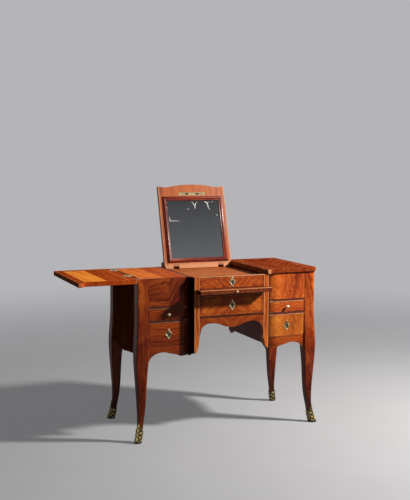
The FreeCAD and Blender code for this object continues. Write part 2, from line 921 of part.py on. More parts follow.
def make_knob(name, middle, front, height, radius, length):
    """A small turned brass knob on a round back plate."""
    body = new_body(name)
    sketch = new_sketch(body, f"{name}_outline", "XY_Plane", height)
    bind(sketch, ".AttachmentOffset.Base.x", middle)
    draw_outline(sketch, [
        (0, front),
        (radius * 0.8, front),
        (radius * 0.8, front - length * 0.1),
        (radius * 0.42, front - length * 0.2),
        (radius * 0.42, front - length * 0.4),
        (radius * 0.9, front - length * 0.52),
        (radius, front - length * 0.66),
        (radius * 0.9, front - length * 0.8),
        (radius * 0.55, front - length * 0.95),
        (0, front - length),
    ])
    turning = body.newObject("PartDesign::Revolution", f"{name}_turning")
    turning.Profile = sketch
    turning.ReferenceAxis = (sketch, ["V_Axis"])
    turning.Angle = 360
    keep(body, name)


def make_lock(name, middle, front, top):
    """The lock on the inside of a drawer front."""
    back_of_front = front + size["front_thick"]
    keep(box(name, (middle - size["lock_half"], middle + size["lock_half"]),
             (back_of_front, back_of_front + size["lock_thick"]),
             (top - size["lock_drop"] - size["lock_tall"], top - size["lock_drop"])), name)


def make_drawers():
    """All six drawers with their brass and locks."""
    guide_play = reveal
    for place, side in (("left", -1), ("right", 1)):
        x = mirrored(side, bay_edge, post_inner)
        tray_x = (x[0] + guide_play, x[1] - guide_play)
        middle = (x[0] + x[1]) / 2
        name = f"big_drawer_{place}"
        make_drawer(name, x, bay_front, bay_floor, small_rail_bottom, tray_x,
                    small_rail_bottom - size["tray_drop"], True, side)
        height = (bay_floor + small_rail_bottom) / 2
        make_escutcheon(f"{name}_escutcheon", middle, bay_front, height)
        make_lock(f"{name}_lock", middle, bay_front, small_rail_bottom - size["tray_drop"])
        name = f"small_drawer_{place}"
        make_drawer(name, x, bay_front, small_rail_top, well_board_bottom, tray_x,
                    well_board_bottom - size["tray_drop"], False, side)
        height = (small_rail_top + well_board_bottom) / 2
        make_knob(f"{name}_knob", middle, bay_front, height, size["knob_radius"],
                  size["knob_length"])
    inner = size["stile_inner"]
    x = (-inner, inner)
    tray_x = (-(inner - guide_play * 2), inner - guide_play * 2)
    middle = as_size(0)
    make_drawer("lower_drawer", x, centre_front, centre_floor, slide_rail_bottom, tray_x,
                slide_rail_bottom - size["tray_drop"], True)
    height = (centre_floor + slide_rail_bottom) / 2
    make_escutcheon("lower_drawer_escutcheon", middle, centre_front, height)
    make_lock("lower_drawer_lock", middle, centre_front, slide_rail_bottom - size["tray_drop"])
    make_top_drawer(x, tray_x, middle)


def make_top_drawer(x, tray_x, middle):
    """The shallow drawer under the mirror, whose front hides the board that carries it."""
    front_low = slide_top + reveal
    body = new_body("top_drawer_front")
    pad(body, "top_drawer_front_pad", "XZ_Plane", centre_front, size["front_thick"],
        rectangle((x[0] + reveal, x[1] - reveal), (front_low, rim - reveal)))
    height = (front_low + rim) / 2
    pocket(body, "top_drawer_keyhole", "XZ_Plane", centre_front - overrun,
           size["front_thick"] + overrun * 2, keyhole_outline(middle, height))
    keep(body, "top_drawer_front")
    wall = size["drawer_wall"]
    bottom = top_board_top + play
    tray_top = recess_floor_bottom - play
    back_of_front = centre_back_of_front
    outer = box("top_drawer_tray_block", tray_x,
                (back_of_front, back_of_front + drawer_depth), (bottom, tray_top))
    hollow = box("top_drawer_tray_hollow", (tray_x[0] + wall, tray_x[1] - wall),
                 (back_of_front - overrun, back_of_front + drawer_depth - wall),
                 (bottom + size["drawer_bottom"], tray_top + overrun))
    keep(cut("top_drawer_tray", outer, hollow), "top_drawer_tray")
    make_escutcheon("top_drawer_escutcheon", middle, centre_front, height)
    lock_bottom = bottom + size["drawer_bottom"]
    keep(box("top_drawer_lock", (middle - size["lock_half"], middle + size["lock_half"]),
             (back_of_front, back_of_front + size["lock_thick"]), (lock_bottom, tray_top)),
         "top_drawer_lock")


def make_writing_slide():
    """The slide that draws out between the two middle drawers, with a banded edge."""
    half = size["slide_half"]
    front = centre_front - size["slide_drawn"]
    floor = slide_floor
    body = new_body("writing_slide")
    pad(body, "slide_panel", "XY_Plane", floor, size["slide_thick"],
        rectangle((-half, half), (front, front + slide_depth)))
    fillet_edges(body, "slide_edge", size["slide_band"] / 12,
                 lambda middle: near(middle.y, front) and not near(abs(middle.x), half))
    keep(body, "writing_slide")
    make_knob("writing_slide_knob", as_size(0), front, floor + size["slide_thick"] / 2,
              size["slide_knob_radius"], size["slide_knob_length"])


def flap_outline(side):
    """A closed flap from above. It follows the step in the front."""
    lip = size["centre_edge"] + size["flap_overhang"]
    step = bay_edge + size["flap_overhang"]
    return [
        (size["flap_inner"] * side, flap_centre_front),
        (lip * side, flap_centre_front),
        (step * side, flap_front),
        (hinge_side * side, flap_front),
        (hinge_side * side, flap_back),
        (size["flap_inner"] * side, flap_back),
    ]


def make_flap(name, side):
    """A flap of the top, in its closed place, cut out for its two hinges."""
    body = new_body(name)
    pad(body, f"{name}_panel", "XY_Plane", flap_bottom, size["flap_thick"], flap_outline(side))
    fillet_edges(body, f"{name}_edge", size["flap_round"],
                 lambda middle: near(middle.z, flap_top)
                 and not near(abs(middle.x), size["flap_inner"]))
    half = size["hinge_length"] / 2 + play
    knuckle = size["hinge_knuckle"] + play
    for number, middle in enumerate(hinge_places):
        along = (middle - half, middle + half)
        leaf_x = mirrored(side, hinge_side - size["hinge_leaf"] - play, hinge_side + overrun)
        pocket(body, f"{name}_hinge_bed_{number}", "XY_Plane", flap_bottom - overrun,
               size["hinge_plate"] + overrun, rectangle(leaf_x, along))
        notch_x = mirrored(side, hinge_side - knuckle, hinge_side + overrun)
        pocket(body, f"{name}_knuckle_notch_{number}", "XY_Plane", flap_bottom - overrun,
               knuckle + overrun, rectangle(notch_x, along))
    keep(body, name)
    return body


def turn_open(thing):
    """Turns a left-hand flap piece over its hinge line, to lie open beside the case."""
    thing.Placement.Rotation = FreeCAD.Rotation(FreeCAD.Vector(0, 1, 0), 180)
    bind(thing, "Placement.Base.x", -hinge_side * 2)
    bind(thing, "Placement.Base.z", hinge_level * 2)


def knuckle_spans(middle):
    """Along a hinge: the fixed end knuckles and, between them, the moving one."""
    half = size["hinge_length"] / 2
    split = half / 3
    return ((middle - half, half - split), (middle + split, half - split)), \
        (middle - split + play, split * 2 - play * 2)


def make_flap_hinges():
    """The fixed halves on the rim and the moving halves in the flaps."""
    fixed = []
    for place, side in (("left", -1), ("right", 1)):
        moving = []
        for number, middle in enumerate(hinge_places):
            name = f"{place}_{number}"
            ends, centre = knuckle_spans(middle)
            half = size["hinge_length"] / 2
            across = hinge_side * side
            fixed.append(fixed_flap_hinge(name, side, across, middle, half, ends))
            moving.append(moving_flap_hinge(name, side, across, middle, half, centre))
        hinge = group(f"flap_hinges_{place}", moving)
        if side < 0:
            turn_open(hinge)
    return fixed


def fixed_flap_hinge(name, side, across, middle, half, ends):
    """The half that is let into the rim: a leaf, two knuckles and the pin."""
    leaf_x = mirrored(side, half_width - size["hinge_leaf"], hinge_side)
    leaf = box(f"fixed_leaf_{name}", leaf_x, (middle - half, middle + half),
               (rim - size["hinge_plate"], rim))
    gap = box(f"fixed_gap_{name}", mirrored(side, half_width, hinge_side + overrun * 3),
              (middle - half / 3, middle + half / 3),
              (rim - size["hinge_plate"] - overrun, rim + overrun))
    parts = [cut(f"fixed_leaf_cut_{name}", leaf, gap)]
    for index, (start, length) in enumerate(ends):
        parts.append(cylinder_along(f"fixed_knuckle_{name}_{index}", "y", start, length,
                                    size["hinge_knuckle"], across, hinge_level))
    parts.append(cylinder_along(f"pin_{name}", "y", middle - half, half * 2, size["hinge_pin"],
                                across, hinge_level))
    return fuse(f"fixed_hinge_{name}", parts)


def moving_flap_hinge(name, side, across, middle, half, centre):
    """The half that is let into the flap: a leaf and the middle knuckle, bored."""
    start, length = centre
    leaf = box(f"moving_leaf_{name}", mirrored(side, hinge_side - size["hinge_leaf"], hinge_side),
               (middle - half, middle + half), (flap_bottom, flap_bottom + size["hinge_plate"]))
    gap_x = mirrored(side, hinge_side - size["hinge_knuckle"] - play, hinge_side + overrun)
    ends = ((middle - half - overrun, start), (start + length, middle + half + overrun))
    for index, span in enumerate(ends):
        gap = box(f"moving_gap_{name}_{index}", gap_x, span,
                  (flap_bottom - overrun, flap_bottom + size["hinge_plate"] + overrun))
        leaf = cut(f"moving_leaf_cut_{name}_{index}", leaf, gap)
    knuckle = cylinder_along(f"moving_knuckle_{name}", "y", start, length,
                             size["hinge_knuckle"], across, hinge_level)
    bore = cylinder_along(f"moving_bore_{name}", "y", start - overrun, length + overrun * 2,
                          size["hinge_pin"] + size["pin_play"], across, hinge_level)
    return cut(f"moving_hinge_{name}", fuse(f"moving_hinge_whole_{name}", [leaf, knuckle]), bore)


def stand_up(thing):
    """Raises a mirror piece, drawn flat round its pivot, to its leaning place."""
    turn = 90 - MIRROR_LEAN
    thing.Placement.Rotation = FreeCAD.Rotation(FreeCAD.Vector(1, 0, 0), turn)
    bind(thing, "Placement.Base.y", mirror_pivot)
    bind(thing, "Placement.Base.z", mirror_level)


def make_mirror_panel():
    """The mirror's panel: a shaped top edge and a round lower edge that it turns on."""
    half = size["mirror_half"]
    length = mirror_length
    radius = mirror_radius
    thick = size["flap_thick"]
    dip = length - size["mirror_dip"]
    body = new_body("mirror_panel")
    pad(body, "panel", "XY_Plane", -radius, thick, [
        (-half, 0),
        (half, 0),
        (half, length),
        (half * 0.85, length - size["mirror_dip"] * 1.2, "via"),
        (half * 0.68, dip),
        (0, length + size["mirror_crown"], "via"),
        (-half * 0.68, dip),
        (-half * 0.85, length - size["mirror_dip"] * 1.2, "via"),
        (-half, length),
    ])
    reach = (radius * radius - mirror_face * mirror_face).root()
    pad(body, "panel_round_edge", "YZ_Plane", -half, half * 2, [
        (0, mirror_face),
        (-reach, mirror_face),
        (-radius * 0.8, -radius * 0.6, "via"),
        (0, -radius),
    ])
    corner = size["mirror_corner"]
    short = corner * DIAGONAL_SHARE
    for number, side in enumerate((-1, 1)):
        pocket(body, f"panel_corner_{number}", "XY_Plane", -radius - overrun,
               thick + overrun * 2, [
            ((half + overrun) * side, -radius - overrun),
            ((half - corner) * side, -radius - overrun),
            ((half - corner) * side, -radius),
            ((half - short) * side, -radius + short, "via"),
            (half * side, -radius + corner),
            ((half + overrun) * side, -radius + corner),
        ])
        middle = size["mirror_hinge_place"] * side
        wide = size["mirror_hinge_width"] / 2 + play
        pocket(body, f"panel_hinge_notch_{number}", "XY_Plane", -radius - overrun,
               thick + overrun * 2,
               rectangle((middle - wide, middle + wide),
                         (-radius - overrun, size["mirror_knuckle"] + play * 2)))
    lap = size["glass_lap"]
    inner = size["frame_half"] - size["frame_width"] + lap + reveal
    low = size["frame_start"] + size["frame_width"] - lap - reveal
    high = frame_end - size["frame_width"] + lap + reveal
    bed = mirror_face - size["glass_thick"] - play
    pocket(body, "panel_glass_bed", "XY_Plane", bed, size["glass_thick"] + play + overrun,
           rectangle((-inner, inner), (low, high)))
    plate = size["plate_half"]
    pocket(body, "panel_plate_bed", "XY_Plane", mirror_face - size["plate_thick"],
           size["plate_thick"] + overrun,
           rectangle((-plate, plate),
                     (plate_start, plate_end)))
    keep(body, "mirror_panel")
    stand_up(body)


def make_mirror_glass():
    """The old glass, its bed and the moulded frame that holds it."""
    lap = size["glass_lap"]
    half = size["frame_half"]
    width = size["frame_width"]
    inner = half - width
    low = size["frame_start"] + width
    high = frame_end - width
    bed = mirror_face - size["glass_thick"] - play
    glass = new_body("mirror_glass")
    pad(glass, "glass", "XY_Plane", bed, size["glass_thick"],
        rectangle((-(inner + lap), inner + lap), (low - lap, high + lap)))
    keep(glass, "mirror_glass")
    stand_up(glass)
    frame = new_body("mirror_moulding")
    pad(frame, "moulding", "XY_Plane", mirror_face, size["frame_rise"],
        rectangle((-half, half), (size["frame_start"], frame_end)),
        rectangle((-inner, inner), (low, high)))
    crest = mirror_face + size["frame_rise"]
    fillet_edges(frame, "moulding_edge", size["frame_round"],
                 lambda middle: near(middle.z, crest))
    keep(frame, "mirror_moulding")
    stand_up(frame)
    plate = new_body("mirror_lock_plate")
    pad(plate, "plate", "XY_Plane", mirror_face - size["plate_thick"], size["plate_thick"],
        rectangle((-(size["plate_half"] - play), size["plate_half"] - play),
                  (plate_start + play, plate_end - play)))
    keep(plate, "mirror_lock_plate")
    stand_up(plate)


def make_mirror_hinges():
    """The mirror's two hinges: fixed straps on the batten, moving ones in the panel."""
    fixed = []
    moving = []
    radius = size["mirror_knuckle"]
    strap = size["mirror_strap"]
    front = batten_front
    for number, side in enumerate((-1, 1)):
        middle = size["mirror_hinge_place"] * side
        half = size["mirror_hinge_width"] / 2
        split = half / 3
        plate = box(f"strap_plate_{number}", (middle - half, middle + half),
                    (front, front + strap), (rim, mirror_level))
        parts = [plate]
        for index, start in enumerate((middle - half, middle + split)):
            length = half - split
            parts.append(cylinder_along(f"strap_knuckle_{number}_{index}", "x", start, length,
                                        radius, mirror_pivot, mirror_level))
            parts.append(box(f"strap_arm_{number}_{index}", (start, start + length),
                             (mirror_pivot, front), (mirror_level - strap, mirror_level)))
        parts.append(cylinder_along(f"strap_pin_{number}", "x", middle - half, half * 2,
                                    size["hinge_pin"], mirror_pivot, mirror_level))
        fixed.append(fuse(f"fixed_strap_{number}", parts))
        wide = split - play
        knuckle = cylinder_along(f"swing_knuckle_{number}", "x", middle - wide, wide * 2, radius,
                                 0, 0)
        arm = box(f"swing_arm_{number}", (middle - wide, middle + wide),
                  (0, radius + play * 2), (-strap / 2, strap / 2))
        bore = cylinder_along(f"swing_bore_{number}", "x", middle - wide - overrun,
                              wide * 2 + overrun * 2, size["hinge_pin"] + size["pin_play"], 0, 0)
        moving.append(cut(f"swing_strap_{number}",
                          fuse(f"swing_strap_whole_{number}", [knuckle, arm]), bore))
    stand_up(group("mirror_hinges", moving))
    return fixed


def check_and_write():
    """Checks every feature, then writes each sub-part to a file of its own."""
    doc.recompute()
    for thing in doc.Objects:
        if {"Invalid", "Error"} & set(thing.State):
            raise RuntimeError(f"{thing.Name} failed: {thing.State}")
        if thing.TypeId == "PartDesign::Pocket":
            if thing.Shape.Volume > thing.BaseFeature.Shape.Volume - ROUNDING:
                raise RuntimeError(f"{thing.Name} cuts nothing")
    os.makedirs("parts", exist_ok=True)
    for piece in pieces:
        shape = piece.Shape
        if shape.isNull() or not shape.isValid():
            raise RuntimeError(f"{piece.Label} has no valid shape")
        shape.exportStep(os.path.join("parts", f"{piece.Label}.step"))
        bounds = shape.BoundBox
        print(f"{piece.Label}: {len(shape.Solids)} solids, {shape.Volume / 1000:.1f} cm3,",
              f"x {bounds.XMin:.1f} {bounds.XMax:.1f}, y {bounds.YMin:.1f} {bounds.YMax:.1f},",
              f"z {bounds.ZMin:.1f} {bounds.ZMax:.1f}")
    print(len(pieces), "nodes")


def main():
    """Builds the dressing table."""
    for place, side, end in (("front_left", -1, -1), ("front_right", 1, -1),
                             ("back_left", -1, 1), ("back_right", 1, 1)):
        make_leg(place, side, end)
    for place, side in (("left", -1), ("right", 1)):
        make_side_panel(place, side)
        make_kneehole_side(place, side)
        make_stile(place, side)
        make_bay_apron(place, side)
        make_bay_boards(place, side)
        make_false_front(place, side)
    make_back_panel()
    make_centre_apron()
    make_centre_boards()
    make_recess_floor()
    make_rear_batten()
    make_well_cover()
    make_drawers()
    make_writing_slide()
    turn_open(make_flap("flap_left", -1))
    make_flap("flap_right", 1)
    fixed = make_flap_hinges()
    make_mirror_panel()
    make_mirror_glass()
    group("hinge_leaves_fixed", fixed + make_mirror_hinges())
    check_and_write()


main()
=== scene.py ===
"""A poudreuse: a veneered dressing table with folding flaps and a folding mirror.

The CAD model is loaded as a fixed frame in metres. This script gives it veneers, oak,
brass and old mirror glass, and adds turned, cast and moulded pieces that ride on it.
"""

import json
import math

import bmesh
import bpy
import numpy as np
from bpy.props import FloatProperty, FloatVectorProperty, PointerProperty
from mathutils import Matrix, Vector


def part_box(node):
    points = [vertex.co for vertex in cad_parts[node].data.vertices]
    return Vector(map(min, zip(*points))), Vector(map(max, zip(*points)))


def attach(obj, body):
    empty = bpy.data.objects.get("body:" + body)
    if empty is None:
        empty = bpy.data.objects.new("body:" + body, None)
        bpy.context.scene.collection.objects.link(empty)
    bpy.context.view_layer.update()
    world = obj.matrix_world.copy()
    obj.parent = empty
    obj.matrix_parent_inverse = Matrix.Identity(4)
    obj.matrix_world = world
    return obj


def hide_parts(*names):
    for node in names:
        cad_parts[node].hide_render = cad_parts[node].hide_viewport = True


bl_info = {
    "name": "Poudreuse Dressing Table",
    "version": (1, 0, 0),
    "blender": (4, 5, 0),
    "location": "View3D > Sidebar > Poudreuse",
    "description": "Veneers, brass and mouldings of a folding dressing table",
    "category": "Object",
}

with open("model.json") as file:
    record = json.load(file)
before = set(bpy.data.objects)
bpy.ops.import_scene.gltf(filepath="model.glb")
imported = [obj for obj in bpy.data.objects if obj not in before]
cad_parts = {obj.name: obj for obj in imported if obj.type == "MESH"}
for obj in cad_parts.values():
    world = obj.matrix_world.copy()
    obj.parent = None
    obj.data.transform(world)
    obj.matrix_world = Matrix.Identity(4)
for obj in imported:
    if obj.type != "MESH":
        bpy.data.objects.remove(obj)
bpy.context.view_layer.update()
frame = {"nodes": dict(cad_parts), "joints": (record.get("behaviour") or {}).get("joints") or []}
NODES = frame["nodes"]

CORNERS = {
    "front_left": (-1, -1),
    "front_right": (1, -1),
    "back_left": (-1, 1),
    "back_right": (1, 1),
}

# What the camera and reflections see behind the object.
BACKDROP = (0.46, 0.46, 0.48)

# The photograph's camera: its place, and how far it is turned, tipped and rolled, in
# degrees.
CAMERA_PLACE = (-1.645, -3.824, 1.237)
CAMERA_TURNS = (22.83, 5.66, 0.28)

# Each light's place, the place it is aimed at, its width and its colour.
LIGHTS = {
    "key": ((2.3, -1.44, 2.28), (-0.15, -0.25, 0.6), 0.25, (1.0, 0.97, 0.92)),
    "fill": ((-1.2, -3.8, 2.6), (0.0, 0.0, 0.5), 2.4, (0.95, 0.97, 1.0)),
}

# Half the floor's width.
FLOOR_REACH = 30.0

# A lacquered veneer's clear coat and specular level, low enough to keep its colour at
# flat angles.
COAT = 0.04
SPECULAR = 0.12

# A thin dark line, as at a joint: half its width and its colour. The gap under a
# drawer gets a darker painted shadow.
JOINT_LINE = 0.0009
JOINT_DARK = (0.03, 0.006, 0.002)
GAP_SHADOW = (0.012, 0.004, 0.002)

# The noises that wood is made of: scale along the grain and across it.
BEND = (3.0, 6.0)
CURL = (13.0, 17.0)
FIGURE = (2.6, 30.0)
STREAK = (9.0, 190.0)
HAIR = (36.0, 780.0)
PORES = (110.0, 1900.0)
CLOUD = (5.0, 9.0)

# How far the other half's grain is shifted in a sheet whose halves are laid differently.
HALF_SHIFT = 0.37

# The slanting joint at the knee: its slope inwards and its place as a share of the
# knee's height. Below it the wood is darker by a tint.
KNEE_SLOPE = 0.65
KNEE_SHARE = 1.02
KNEE_TINT = (0.8, 0.6, 0.6)

# Tints that darken a leg downwards, each between two heights.
LEG_SHADE = ((0.72, 0.12), (0.5, 0.46, 0.42))
ANKLE_SHADE = ((0.24, 0.07), (0.4, 0.5, 0.75))

# The slide: where its lining and the gilt line begin, in from its edge, half the
# line's width, and the width of its worn arris.
LINING_EDGE = 0.055
GILT_EDGE = 0.063
GILT_LINE = 0.0008
ARRIS = 0.0015

# A drawer's dovetails: their pitch, which is also their depth, half their narrow end,
# and how fast they widen.
DOVETAIL = 0.011
DOVETAIL_NECK = 0.0028
DOVETAIL_FLARE = 0.22

# Width of a stile's face across the front.
STILE_FACE = 0.023

# The dark line round the mirror's panel beside its moulding, partly a groove and partly
# the moulding's painted shadow: its place in from the edge and half its width.
PANEL_LINE = (0.0145, 0.0016)

# Thickness of the veneered edge at the front of hidden boards.
EDGING = 0.004

# Down a leg: height, how far its outer face stands beyond the case and its width, as
# shares of the knee's height and of the post.
LEG_STATIONS = np.array([
    (1.3, 0.0, 1.0),
    (1.16, 0.03, 1.03),
    (1.07, 0.075, 1.075),
    (1.0, 0.112, 1.1),
    (0.942, 0.135, 1.11),
    (0.86, 0.142, 1.1),
    (0.767, 0.115, 1.01),
    (0.605, 0.035, 0.845),
    (0.453, -0.045, 0.715),
    (0.302, -0.09, 0.57),
    (0.198, -0.07, 0.46),
    (0.093, 0.015, 0.42),
])

# Down a shoe: the same, and the share cut off the corners beside the toe.
SHOE_STATIONS = np.array([
    (0.256, -0.065, 0.54, 0.06),
    (0.198, -0.04, 0.52, 0.1),
    (0.14, 0.035, 0.54, 0.16),
    (0.088, 0.115, 0.56, 0.24),
    (0.047, 0.21, 0.59, 0.34),
    (0.021, 0.29, 0.63, 0.42),
    (0.0, 0.3, 0.63, 0.44),
])

# Round a section: places on each of its eight runs, and the rounding of its toe.
LEG_CORNER = (5, 0.05)
SHOE_CORNER = (9, 0.12)

# A leg's middle, as a share of the post in from the case's corner, the slope of the
# joint above the shoe towards the toe, and the way over which the leaf's tip rises.
LEG_MIDDLE = 0.3
JOINT_SLOPE = 0.3
TIP_WAY = 0.012

# Rows of points up a leg and up a shoe.
LEG_ROWS = 80
SHOE_ROWS = 72

# The shoe's relief: height of its foliage and of the bead at its rim, the bumps' turns
# up it in radians a metre, and half the rib's width in radians.
FOLIAGE_RISE = 0.0018
RIM_RISE = 0.0014
BUMP_TURNS = 330.0
RIB_WIDTH = 0.14

# As shares of the shoe's height: where the foliage has risen from the sole, where it
# ends, and the rim bead's middle and half width.
FOLIAGE_START = 0.16
FOLIAGE_END = 0.93
RIM_MIDDLE = 0.97
RIM_SPREAD = 0.025

# Across the mirror's moulding: distance in from its outer edge and height, as shares
# of its width and height.
MOULDING_PROFILE = np.array([
    (0.0, 0.0), (0.0, 0.42), (0.03, 0.5), (0.1, 0.54), (0.16, 0.64), (0.22, 0.82),
    (0.3, 0.95), (0.4, 1.0), (0.5, 0.97), (0.58, 0.86), (0.64, 0.7), (0.7, 0.58),
    (0.78, 0.52), (0.82, 0.56), (0.87, 0.6), (0.93, 0.54), (0.97, 0.36), (1.0, 0.05),
    (1.0, 0.0),
])

# The moulding's width.
MOULDING_WIDTH = 0.021

# A knob's outline from its back plate to its crown: radius and length as shares.
KNOB_PROFILE = np.array([
    (0.8, 0.0), (0.84, 0.04), (0.8, 0.09), (0.56, 0.13), (0.42, 0.2), (0.38, 0.32),
    (0.42, 0.4), (0.62, 0.46), (0.86, 0.54), (0.98, 0.64), (1.0, 0.72), (0.95, 0.82),
    (0.78, 0.91), (0.5, 0.97), (0.24, 0.995),
])

# Points round a knob and rings along it.
KNOB_SIDES = 40
KNOB_RINGS = 60

# The escutcheons: their rim's width, the way its middle line stands inside the piece,
# how far it is stretched upwards and how hollow its sides are; a keyhole's radius, slot
# and drop for the ring and for the painted shade in the hole, and the ring's width.
RIM_WIDTH = 0.0038
RIM_INSET = 0.0021
RIM_STRETCH = 1.05
RIM_HOLLOW = 0.07
RING_HOLE = (0.0088, 0.0062, 0.0162)
SHADED_HOLE = (0.0092, 0.0066, 0.0165)
RING_WIDTH = 0.0028

# The escutcheons' bars: the way each runs and where it starts, and how far it runs as a
# share of the rim's reach, its width and its height as a share of the rim's.
STRAIGHT_BAR = (0.86, 0.0056, 0.9)
SLANTING_BAR = (0.8, 0.0034, 0.8)
BARS = (
    ((0.0, 1.0), 0.0092, STRAIGHT_BAR), ((1.0, 0.0), 0.0092, STRAIGHT_BAR),
    ((0.0, -1.0), 0.0167, STRAIGHT_BAR), ((-1.0, 0.0), 0.0092, STRAIGHT_BAR),
    ((0.5, 0.5), 0.0125, SLANTING_BAR), ((0.5, -0.5), 0.0125, SLANTING_BAR),
    ((-0.5, -0.5), 0.0125, SLANTING_BAR), ((-0.5, 0.5), 0.0125, SLANTING_BAR),
)

# Worn marks in the glass: places across and down from its head, and widths along them.
# The widths are scaled, and all of it stands lower by a drop.
GLASS_MARKS = (
    ([(-0.005, 0.006), (0.004, 0.018), (0.01, 0.027)], (0.0016, 0.0036, 0.004)),
    ([(0.021, 0.006), (0.014, 0.018), (0.01, 0.027), (0.011, 0.042)],
     (0.0018, 0.004, 0.005, 0.0024)),
    ([(0.064, 0.007), (0.075, 0.01), (0.08, 0.02), (0.081, 0.035), (0.089, 0.048)],
     (0.003, 0.0065, 0.0045, 0.004, 0.0014)),
    ([(0.08, 0.01), (0.09, 0.009)], (0.0018, 0.0014)),
    ([(-0.129, 0.08), (-0.13, 0.096), (-0.125, 0.104)], (0.002, 0.004, 0.0028)),
    ([(-0.129, 0.1), (-0.106, 0.101), (-0.078, 0.102)], (0.004, 0.003, 0.001)),
    ([(-0.031, 0.043), (-0.022, 0.043)], (0.0028, 0.0014)),
    ([(0.124, 0.072), (0.127, 0.08)], (0.0028, 0.0022)),
    ([(0.101, 0.007), (0.11, 0.007)], (0.0018, 0.0018)),
)
MARK_SCALE = 0.6
MARK_DROP = 0.003

# The mirror's lock plate: its slots' and screws' places across it and their radii.
PLATE_SLOTS = ((-0.028, 0.028), (0.0105, 0.0046))
PLATE_SCREWS = ((-0.062, -0.01, 0.01, 0.062), (0.0022, 0.0022))

# The left flap's hinges: where their screws stand across on each body, where the hinges
# and their screws stand along, and a screw's radii and rise.
HINGE_LEAVES = (("case", -0.43), ("left_leaf", -0.4545))
HINGE_MIDDLES = (0.136, -0.075)
SCREW_SHIFTS = (-0.012, 0.0, 0.012)
SCREW_RADII = (0.0021, 0.0021)
SCREW_RISE = 0.0003


# ---- Settings the user can change


class PoudreuseFinishes(bpy.types.PropertyGroup):
    """Colours of the woods, the brass and the glass."""

    front_dark: FloatVectorProperty(
        name="Front, dark figure", description="Dark streaks of the fronts' veneer",
        subtype="COLOR", size=3, default=(0.14, 0.016, 0.003))
    front_mid: FloatVectorProperty(
        name="Front, ground", description="Ground colour of the fronts' veneer",
        subtype="COLOR", size=3, default=(0.38, 0.068, 0.009))
    front_light: FloatVectorProperty(
        name="Front, light figure", description="Light streaks of the fronts' veneer",
        subtype="COLOR", size=3, default=(0.64, 0.165, 0.022))
    red_dark: FloatVectorProperty(
        name="Red wood, dark", description="Dark streaks of the flaps' red veneer",
        subtype="COLOR", size=3, default=(0.12, 0.014, 0.006))
    red_mid: FloatVectorProperty(
        name="Red wood, ground", description="Ground colour of the flaps' red veneer",
        subtype="COLOR", size=3, default=(0.3, 0.044, 0.013))
    red_light: FloatVectorProperty(
        name="Red wood, light", description="Light streaks of the flaps' red veneer",
        subtype="COLOR", size=3, default=(0.5, 0.11, 0.03))
    gold_mid: FloatVectorProperty(
        name="Golden wood", description="Ground colour of the golden veneer",
        subtype="COLOR", size=3, default=(0.86, 0.26, 0.035))
    # Also the colour of the painted highlights on edges and on the beads' top runs.
    string_and_highlight: FloatVectorProperty(
        name="Stringing", description="Thin light lines and worn edges",
        subtype="COLOR", size=3, default=(0.86, 0.42, 0.2))
    oak: FloatVectorProperty(
        name="Oak", description="Oak of the drawers and boards",
        subtype="COLOR", size=3, default=(0.33, 0.18, 0.08))
    brass: FloatVectorProperty(
        name="Brass", description="Pale brass of the escutcheons, knobs and hinges",
        subtype="COLOR", size=3, default=(0.62, 0.53, 0.3))
    bronze: FloatVectorProperty(
        name="Bronze", description="Dull brown brass of the shoes and the lock plate",
        subtype="COLOR", size=3, default=(0.27, 0.195, 0.1))
    glass: FloatVectorProperty(
        name="Old glass", description="Dull silver behind the glass",
        subtype="COLOR", size=3, default=(0.15, 0.155, 0.158))


class PoudreuseSizes(bpy.types.PropertyGroup):
    """Sizes of the pieces added to the frame."""

    case_half: FloatProperty(
        name="Case half width", description="From the middle to the end of the case",
        subtype="DISTANCE", default=0.44)
    case_half_depth: FloatProperty(
        name="Case half depth", description="From the middle to the front of a bay",
        subtype="DISTANCE", default=0.2075)
    post_width: FloatProperty(
        name="Post width", description="Width of a corner post across the front",
        subtype="DISTANCE", default=0.052)
    post_depth: FloatProperty(
        name="Post depth", description="Width of a corner post along the end",
        subtype="DISTANCE", default=0.047)
    knee: FloatProperty(
        name="Knee height", description="Height of the knees, where the legs stand out most",
        subtype="DISTANCE", default=0.43)
    rim: FloatProperty(
        name="Rim height", description="Height of the case without its flaps",
        subtype="DISTANCE", default=0.73)
    shoe: FloatProperty(
        name="Shoe height", description="Height of the brass shoes at their sides",
        subtype="DISTANCE", default=0.053)
    tip: FloatProperty(
        name="Leaf tip", description="How far the leaf on a shoe's toe rises above its sides",
        subtype="DISTANCE", default=0.03)
    tip_width: FloatProperty(
        name="Leaf tip width", description="Half width of the rising leaf",
        subtype="DISTANCE", default=0.008)
    bead: FloatProperty(
        name="Bead radius", description="Radius of the bead round each drawer",
        subtype="DISTANCE", default=0.001)
    lean: FloatProperty(
        name="Mirror lean", description="How far the raised mirror leans back",
        subtype="ANGLE", default=math.radians(15.3))


class PoudreuseStage(bpy.types.PropertyGroup):
    """The camera and the lights."""

    lens: FloatProperty(
        name="Lens", description="Focal length on a 36 mm high frame",
        default=63.51, min=10.0)
    key: FloatProperty(
        name="Key light", description="Power of the soft light at the right",
        default=235.0, min=0.0)
    fill: FloatProperty(
        name="Fill light", description="Power of the large light before the front",
        default=1.5, min=0.0)
    sky: FloatProperty(
        name="Room light", description="Strength of the even light from all round",
        default=0.05, min=0.0)


def finishes():
    """The chosen colours."""
    return bpy.context.scene.poudreuse_finishes


def sizes():
    """The chosen sizes."""
    return bpy.context.scene.poudreuse_sizes


# ---- Materials


